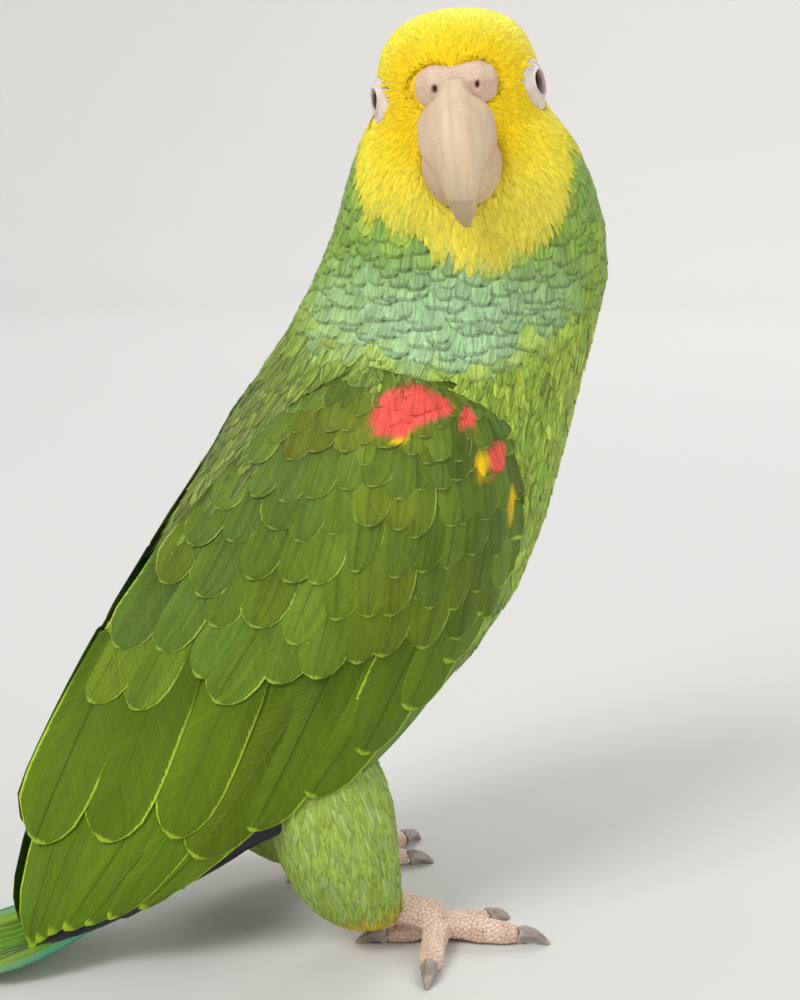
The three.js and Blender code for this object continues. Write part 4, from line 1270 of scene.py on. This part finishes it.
def tail_piece():
    """Twelve tail feathers, the middle pair on top."""
    rng = np.random.default_rng(SEED + 40)
    finish = plumage_material("tail vanes", 120, 0.28, 0.00025, 0.46, Fringe_width=0.12, Fringe_share=0.8,
                              Rachis=0.6, Root_shade=0.1)
    s = np.linspace(0, 1, 16) ** 0.9
    blunt = 0.84  # share of the length where the end begins to round
    fall = np.sqrt(np.clip(1 - (np.clip(s - blunt, 0, 1) / (1 - blunt)) ** 2.2, 0, 1))
    width = np.maximum(np.clip(s / 0.16, 0, 1) ** 0.6 * fall, 0.06)[:, None]
    c = np.linspace(-1, 1, 5)
    u, v = np.meshgrid((np.concatenate([c, c[-2:0:-1]]) + 1) / 2, s)
    share = np.stack([u.ravel(), v.ravel()], 1)
    across, along = 2 * share[:, :1] - 1, share[:, 1:]
    rings, marks = [], {"tint": [], "fringe": [], "ways": []}
    for rank in range(5, -1, -1):
        for hand in (-1, 1):
            lean = hand * (rank + 0.5) / 5.5
            t = mix(0.12, 1 - 0.16 * abs(lean) ** 1.8, s)[:, None]
            y = lean * mix(5, 17.5, t) + c * width * 5.6
            depth = -(1.5 * (abs(lean) ** 0.9) * 0.75 + 4 * (1 - t) * lean**2)
            depth = depth + 0.25 * (1 - c**2) - 0.15 * hand * c
            upper = on_tail(np.broadcast_to(t, y.shape), y, depth)
            lower = on_tail(np.broadcast_to(t, y.shape), y, depth - 0.5 * np.maximum(width, 0.3))
            ring = np.concatenate([upper, lower[:, -2:0:-1]], 1).reshape(-1, 3)
            ring[:, 2] = np.maximum(ring[:, 2], 0.02)
            rings.append(ring)
            bright = rng.uniform(0.85, 1.05)
            tint = mix(TAIL_BASE, TAIL_GREEN, ease(along, 0.1, 0.55))
            tint = mix(tint, TAIL_EDGE, 0.75 * ease(along, 0.72, 1))
            web = ease(across * hand, 0.1, 0.6) * max(0.0, (abs(lean) - 0.45) / 0.55)
            tint = mix(tint, TURQUOISE, 0.8 * web * (1 - 0.5 * ease(along, 0.8, 1)))
            marks["tint"].append(tint * bright)
            marks["fringe"].append(mix(tint, TAIL_EDGE, 0.5 * (1 - web)) * bright)
            marks["ways"].append(np.tile((1.0, 0.0, rng.uniform(0, 1)), (len(ring), 1)))
    count, each = len(rings), len(share)
    faces = [tuple(i * each + k for k in face) for i in range(count) for face in tube_faces(*u.shape)]
    piece = closed_mesh("tail_feathers", np.concatenate(rings), faces)
    uv_layer(piece.data, "Vane", np.tile(share, (count, 1)))
    uv_layer(piece.data, "OFBake", atlas_patch(count, share, 0.06).reshape(-1, 2))
    for label, values in marks.items():
        colour_layer(piece.data, label, np.concatenate(values))
    finished(piece, finish, "tail", "tail")


# ---- bill, cere, eyes ---------------------------------------------------------------------
def bill_section(half, flat, deep, count):
    """Places round one section of the bill: x down into the bill, y across. The ridge is flat, its
    sides slope back to the widest part and draw in again below."""
    slope = mix(flat, half, 0.6)
    right = np.array([(0, 0), (0.1, flat), (0.2 * deep, slope), (0.42 * deep, half),
                      (0.78 * deep, 0.95 * half), (deep, 0.45 * half), (deep, 0)])
    ring = np.vstack([right, (right * (1, -1))[-2:0:-1]])
    closed = np.vstack([ring, ring[:1]])
    run = np.concatenate([[0], np.cumsum(np.linalg.norm(np.diff(closed, axis=0), axis=1))])
    at = np.linspace(0, run[-1], count, endpoint=False)
    places = np.stack([np.interp(at, run, closed[:, k]) for k in (0, 1)], 1)
    return 0.5 * places + 0.25 * (np.roll(places, 1, 0) + np.roll(places, -1, 0))


def upper_bill(material):
    """The hooked upper bill: a flat ridge, a notched cutting edge and a worn, faceted tip."""
    rows, sides = 66, 72
    verts, growth = [], []
    centre = np.array([BILL_ARC["x"], 0, BILL_ARC["z"]])
    for i in range(rows):
        t = mix(-0.2, 1.0, i / (rows - 1))
        turn = math.radians(mix(BILL_ARC["start"], BILL_ARC["end"], t))
        half, flat, deep = (float(smooth_value(row, max(t, 0))) for row in (BILL_HALF, BILL_FLAT, BILL_DEEP))
        outward = np.array([math.cos(turn), 0, math.sin(turn)])
        sunk = 0.5 * float(ease(t, 0.735, 0.765)) + 4.2 * float(ease(-t, 0, 0.14))
        ridge = centre + outward * (BILL_ARC["radius"] - sunk)
        notch = 0.9 * math.exp(-((t - 0.57) / 0.04) ** 2)
        section = bill_section(max(half, 0.6), max(flat, 0.25), max(deep, 1.2), sides)
        for k, (depth, across) in enumerate(section):
            back = float(ease(depth / max(deep, 1.2), 0.3, 0.6))
            tuck = 3.2 * (1 - float(ease(t, 0, 0.13))) * float(ease(abs(across), 2, 5.5))
            point = ridge - outward * (depth + tuck)
            point[1] = across - math.copysign(notch * back, across)
            verts.append(point)
            growth.append((k / sides, max(t, 0)))
    made = closed_mesh("upper_bill_horn", from_head(verts), tube_faces(rows, sides))
    uv_layer(made.data, "Growth", np.array(growth))
    finished(made, material, "horn", "upper_bill")


def lower_bill(material):
    """The blunt scoop that closes up behind the hook."""
    rows, sides = 26, 36
    verts, growth = [], []
    for i in range(rows):
        t = i / (rows - 1)
        x = JAW["x"] + mix(JAW["back"] - JAW["x"], JAW["long"], math.sin(t * math.pi / 2) ** 1.15)
        spread = max(1 - ((x - JAW["x"]) / JAW["long"]) ** 2, 0.004) ** 0.42
        for k in range(sides):
            around = 2 * math.pi * k / sides
            up = math.sin(around)
            rim = 0.72 if up > 0 else 1.0
            y = 1.09 * JAW["half"] * spread * math.copysign(abs(math.cos(around)) ** 0.85, math.cos(around))
            z = JAW["z"] + JAW["deep"] * spread * up * rim
            verts.append((x, y, z))
            growth.append((k / sides, t * 0.8))
    made = closed_mesh("lower_bill_horn", from_head(verts), tube_faces(rows, sides))
    uv_layer(made.data, "Growth", np.array(growth))
    finished(made, material, "horn", "lower_bill")


def cere_piece(material):
    """Two soft lobes of bare skin over the bill's root, with a slit nostril in each."""
    piece = joined_nodes("cere_skin", ("cere",), 0.9)
    bridge = bmesh.new()
    bmesh.ops.create_uvsphere(bridge, u_segments=24, v_segments=16, radius=1)
    ball = np.array([v.co[:] for v in bridge.verts]) * BRIDGE + (CERE["x"], 0, CERE["z"] + 1)
    for vert, place in zip(bridge.verts, to_frame(from_head(ball))):
        vert.co = place
    bridge.from_mesh(piece.data)
    bridge.to_mesh(piece.data)
    bridge.free()
    plain_mesh(piece, ("REMESH", {"mode": "VOXEL", "voxel_size": 0.00035}),
               ("SMOOTH", {"factor": 0.6, "iterations": 40}))
    mesh = piece.data
    places = to_head(to_bird(corners(mesh)))
    flat = 22 + (places[:, 0] - 22) * 0.8
    high = places[:, 2] - CERE["z"]
    places = np.stack([np.where(places[:, 0] > 22, flat, places[:, 0]), places[:, 1] * 0.95 + 0.7,
                       CERE["z"] + 0.8 * ease(high, -4, 1) + high * np.where(high > 0, 0.88, 1)], 1)
    move_corners(mesh, to_frame(from_head(places)))
    out = normals(mesh)
    hole = np.full(len(places), 9.0)
    for side in (-1, 1):
        off = places[:, 1:] - (side * NOSTRIL["side"] + 0.9, NOSTRIL["z"])
        far = np.hypot(off[:, 0] / 0.7, off[:, 1] / 1.15)
        hole = np.minimum(hole, np.where(places[:, 0] > CERE["x"], far, 9))
    rim = np.exp(-((hole - 1.7) / 0.7) ** 2)
    push = -1.2 * (1 - ease(hole, 0.6, 1.2)) + 0.1 * rim + 0.05 * waver(places, 1.3, 12)
    move_corners(mesh, corners(mesh) + out * push[:, None] / 1000)
    # Painted shade: the nostril mark darkens the insides of the holes.
    colour_layer(mesh, "nostril", np.repeat(1 - ease(hole, 0.5, 1.0)[:, None], 3, 1))
    finished(piece, material, "cere", "cere")


def eye_pieces(ring_skin, eye_finish):
    """Eyeballs with their irises, and the ring of bare folded skin and lids round each."""
    for name, side in SIDES:
        rows, sides = 30, 48
        verts, iris = [], []
        for i in range(rows):
            polar = math.pi * (i + 0.02) / (rows - 0.96)
            for k in range(sides):
                around = 2 * math.pi * k / sides
                radial = math.sin(polar) * EYE["radius"]
                across = EYE["side"] + EYE["radius"] * math.cos(polar)
                verts.append((EYE["x"] + radial * math.cos(around), side * across,
                              EYE["z"] + radial * math.sin(around)))
                iris.append((math.sin(polar) if polar < math.pi / 2 else 1.0, k / sides))
        eye = closed_mesh(f"eyeball_{name}", from_head(verts), tube_faces(rows, sides))
        uv_layer(eye.data, "Iris", np.array(iris))
        finished(eye, eye_finish, "eye", f"eye_{name}")
        lids = eye_ring(f"eye_skin_{name}", side)
        finished(lids, ring_skin, "lid", f"eye_ring_{name}")


def skull_half(x, z):
    """Half width of the head at x and height z in its own frame."""
    level = SKULL[::-1]
    mid, long, half = (np.interp(z, level[:, 0], level[:, k]) for k in (1, 2, 3))
    return half * np.sqrt(np.maximum(1 - ((x - mid) / long) ** 2, 0.05))


def eye_ring(name, side):
    """A closed ring laid on the side of the head: a rounded lid at the eye, fine folds outwards."""
    rows, sides = 44, 120
    rng = np.random.default_rng(SEED + 60 + side)
    phase = rng.uniform(0, 6.28, 4)
    t, around = np.meshgrid(np.arange(rows) / rows, np.arange(sides) * 2 * math.pi / sides, indexing="ij")
    top = t < 0.65
    share = np.where(top, t / 0.65, 1 - (t - 0.65) / 0.35)
    long, tall = mix(LID["long"], FOLDS["long"] + 0.6, share), mix(LID["tall"], FOLDS["tall"] + 0.6, share)
    wave = 1 + share * (0.03 * np.sin(3 * around + phase[0]) + 0.02 * np.sin(8 * around + phase[1]))
    x, z = EYE["x"] + long * wave * np.cos(around), EYE["z"] + tall * wave * np.sin(around)
    step = 0.2
    surface = skull_half(x, z)
    lean = np.stack([-(skull_half(x + step, z) - surface) / step, np.ones_like(x),
                     -(skull_half(x, z + step) - surface) / step], -1)
    lid = 0.75 * np.exp(-((share - 0.07) / 0.12) ** 2)
    fold = 0.15 * np.sin(share * 26 + 0.9 * np.sin(3 * around + phase[2]) + 0.5 * np.sin(9 * around))
    fold *= np.sin(np.pi * np.clip(share * 1.15, 0, 1)) * (0.8 + 0.2 * np.sin(11 * around + phase[3]))
    height = np.where(top, 0.7 - 0.6 * share**2 - 0.9 * share**6 + lid + fold, -1.6 + 1.2 * (1 - share) ** 2)
    place = np.stack([x, surface, z], -1) + unit(lean) * height[..., None]
    place[..., 1] *= side
    faces = []
    for i in range(rows):
        for k in range(sides):
            a, b = i * sides + k, i * sides + (k + 1) % sides
            c, d = ((i + 1) % rows) * sides + (k + 1) % sides, ((i + 1) % rows) * sides + k
            faces.append((a, b, c, d))
    return closed_mesh(name, from_head(place.reshape(-1, 3)), faces)


# ---- feet ---------------------------------------------------------------------------------
def foot_piece(name, material, claw_finish):
    """A bare foot of fine rounded scales with sunken seams between them, and its claws."""
    node = f"foot_{name}"
    piece = joined_nodes(f"foot_skin_{name}", (node,), 0.15)
    plain_mesh(piece, ("REMESH", {"mode": "VOXEL", "voxel_size": 0.00034}),
               ("SMOOTH", {"factor": 0.6, "iterations": 16}))
    mesh = piece.data
    places = to_bird(corners(mesh))
    out = normals(mesh)
    rng = np.random.default_rng(SEED + 80)
    cells, _ = Form(piece).scatter(40000, rng)
    kept = cells[spaced(cells, np.full(len(cells), 1.0))]
    tree = near_tree(kept)
    seam = np.empty(len(places))
    for i, place in enumerate(places):
        (_, _, near), (_, _, next_near) = tree.find_n(place, 2)
        seam[i] = next_near - near
    plump = 0.2 * ease(seam, 0.0, 0.55) - 0.1
    plump *= ease(places[:, 2], 0.15, 0.8)
    move_corners(mesh, corners(mesh) + out * plump[:, None] / 1000)
    above_floor(mesh)
    colour_layer(mesh, "scale_seam", np.repeat(ease(seam, 0.0, 0.3)[:, None], 3, 1))
    finished(piece, material, "scale", node)
    for digit in range(1, 5):
        claw = joined_nodes(f"claw_horn_{name}_{digit}", (f"claw_{name}_{digit}",), 0.45)
        plain_mesh(claw, ("REMESH", {"mode": "VOXEL", "voxel_size": 0.0003}),
                   ("SMOOTH", {"factor": 0.5, "iterations": 5}))
        above_floor(claw.data)
        finished(claw, claw_finish, "claw", f"claw_{name}_{digit}")


# ---- building the bird --------------------------------------------------------------------
def build():
    form = Form(surface_form("form", FLESH[:4] + WINGS + SET_IN[3:], 1.5, 8))
    thighs = Form(surface_form("thigh_form", FLESH[4:], 1.2, 6))
    flesh_skin(form)
    body_tracts(form, thighs)
    bed = grain_material("wing bed", (122, 150, 60), (96, 122, 46), 500.0, 0.8, 0.0003)
    for name, side in SIDES:
        wing_bed(name, side, bed)
    wing_pieces()
    tail_piece()
    horn = bill_material()
    upper_bill(horn)
    lower_bill(horn)
    cere_piece(grain_material("cere", (214, 188, 164), (194, 158, 134), 1500.0, 0.6, 0.0002, 0.4,
                              hollow="nostril"))
    lids = grain_material("eye ring skin", (228, 216, 208), (206, 184, 174), 2200.0, 0.6, 0.0002)
    eye_pieces(lids, eye_material())
    scales = foot_material()
    claws = grain_material("claw horn", (172, 158, 148), (112, 100, 94), 900.0, 0.4, 0.0002, 0.7, coat=0.2)
    for name, _ in SIDES:
        foot_piece(name, scales, claws)
    for helper in (form, thighs):
        bpy.data.objects.remove(helper.piece)


build()


# ---- floor, light and camera --------------------------------------------------------------
def floor():
    """A pale floor that rises into a rounded backdrop well away from the bird."""
    radii = np.concatenate([[0.4, 1.2, 2.0], np.linspace(2.2, 3.6, 12)])
    sides = 64
    verts, faces = [(0, 0, 0)], []
    for radius in radii:
        height = 2.6 * float(ease(radius, 1.9, 3.8)) ** 1.2 if radius > 2 else 0
        verts += [(radius * math.cos(a), radius * math.sin(a), height)
                  for a in np.linspace(0, 2 * math.pi, sides, endpoint=False)]
    for k in range(sides):
        faces.append((0, 1 + k, 1 + (k + 1) % sides))
        for ring in range(len(radii) - 1):
            a, b = 1 + ring * sides + k, 1 + ring * sides + (k + 1) % sides
            faces.append((a, a + sides, b + sides, b))
    mesh = bpy.data.meshes.new("floor")
    mesh.from_pydata(verts, [], faces)
    for face in mesh.polygons:
        face.use_smooth = True
    pale = (0.62, 0.61, 0.59, 1)
    material, s = new_material("pale floor", pale)
    mesh.materials.append(finish_of(material, s, pale, Roughness=0.85))
    linked("floor", mesh)


def lamp(name, place, target, size, power):
    """A soft square lamp that shines on the target."""
    data = bpy.data.lights.new(name, "AREA")
    data.size, data.energy = size, power
    made = linked(name, data)
    made.location = place
    made.rotation_euler = (Vector(target) - Vector(place)).to_track_quat("-Z", "Y").to_euler()


def studio():
    """A pale sky and three soft lamps."""
    bpy.context.scene.view_settings.view_transform = "Standard"
    world = bpy.data.worlds.new("studio")
    world.use_nodes = True
    back = world.node_tree.nodes["Background"]
    back.inputs[0].default_value = (0.95, 0.97, 1, 1)
    back.inputs[1].default_value = 0.62
    bpy.context.scene.world = world
    middle = (0, 0, 0.14)
    lamp("key", (-1.3, -1.6, 2.1), middle, 1.1, 50)
    lamp("fill", (1.9, -1.3, 1.2), middle, 1.6, 16)
    lamp("rim", (0.6, 2.0, 1.7), middle, 1.2, 24)


def camera():
    """In front of the bird's right side, a little above its head and looking down at it."""
    data = bpy.data.cameras.new("camera")
    data.sensor_width, data.lens, data.clip_start = 36, CAMERA["lens"], 0.01
    made = linked("camera", data)
    made.location = (SHIFT[0] / 1000, SHIFT[1] / 1000 - CAMERA["away"], CAMERA["high"])
    made.rotation_euler = (math.radians(90 - CAMERA["down"]), 0, 0)
    bpy.context.scene.camera = made


floor()
studio()
camera()
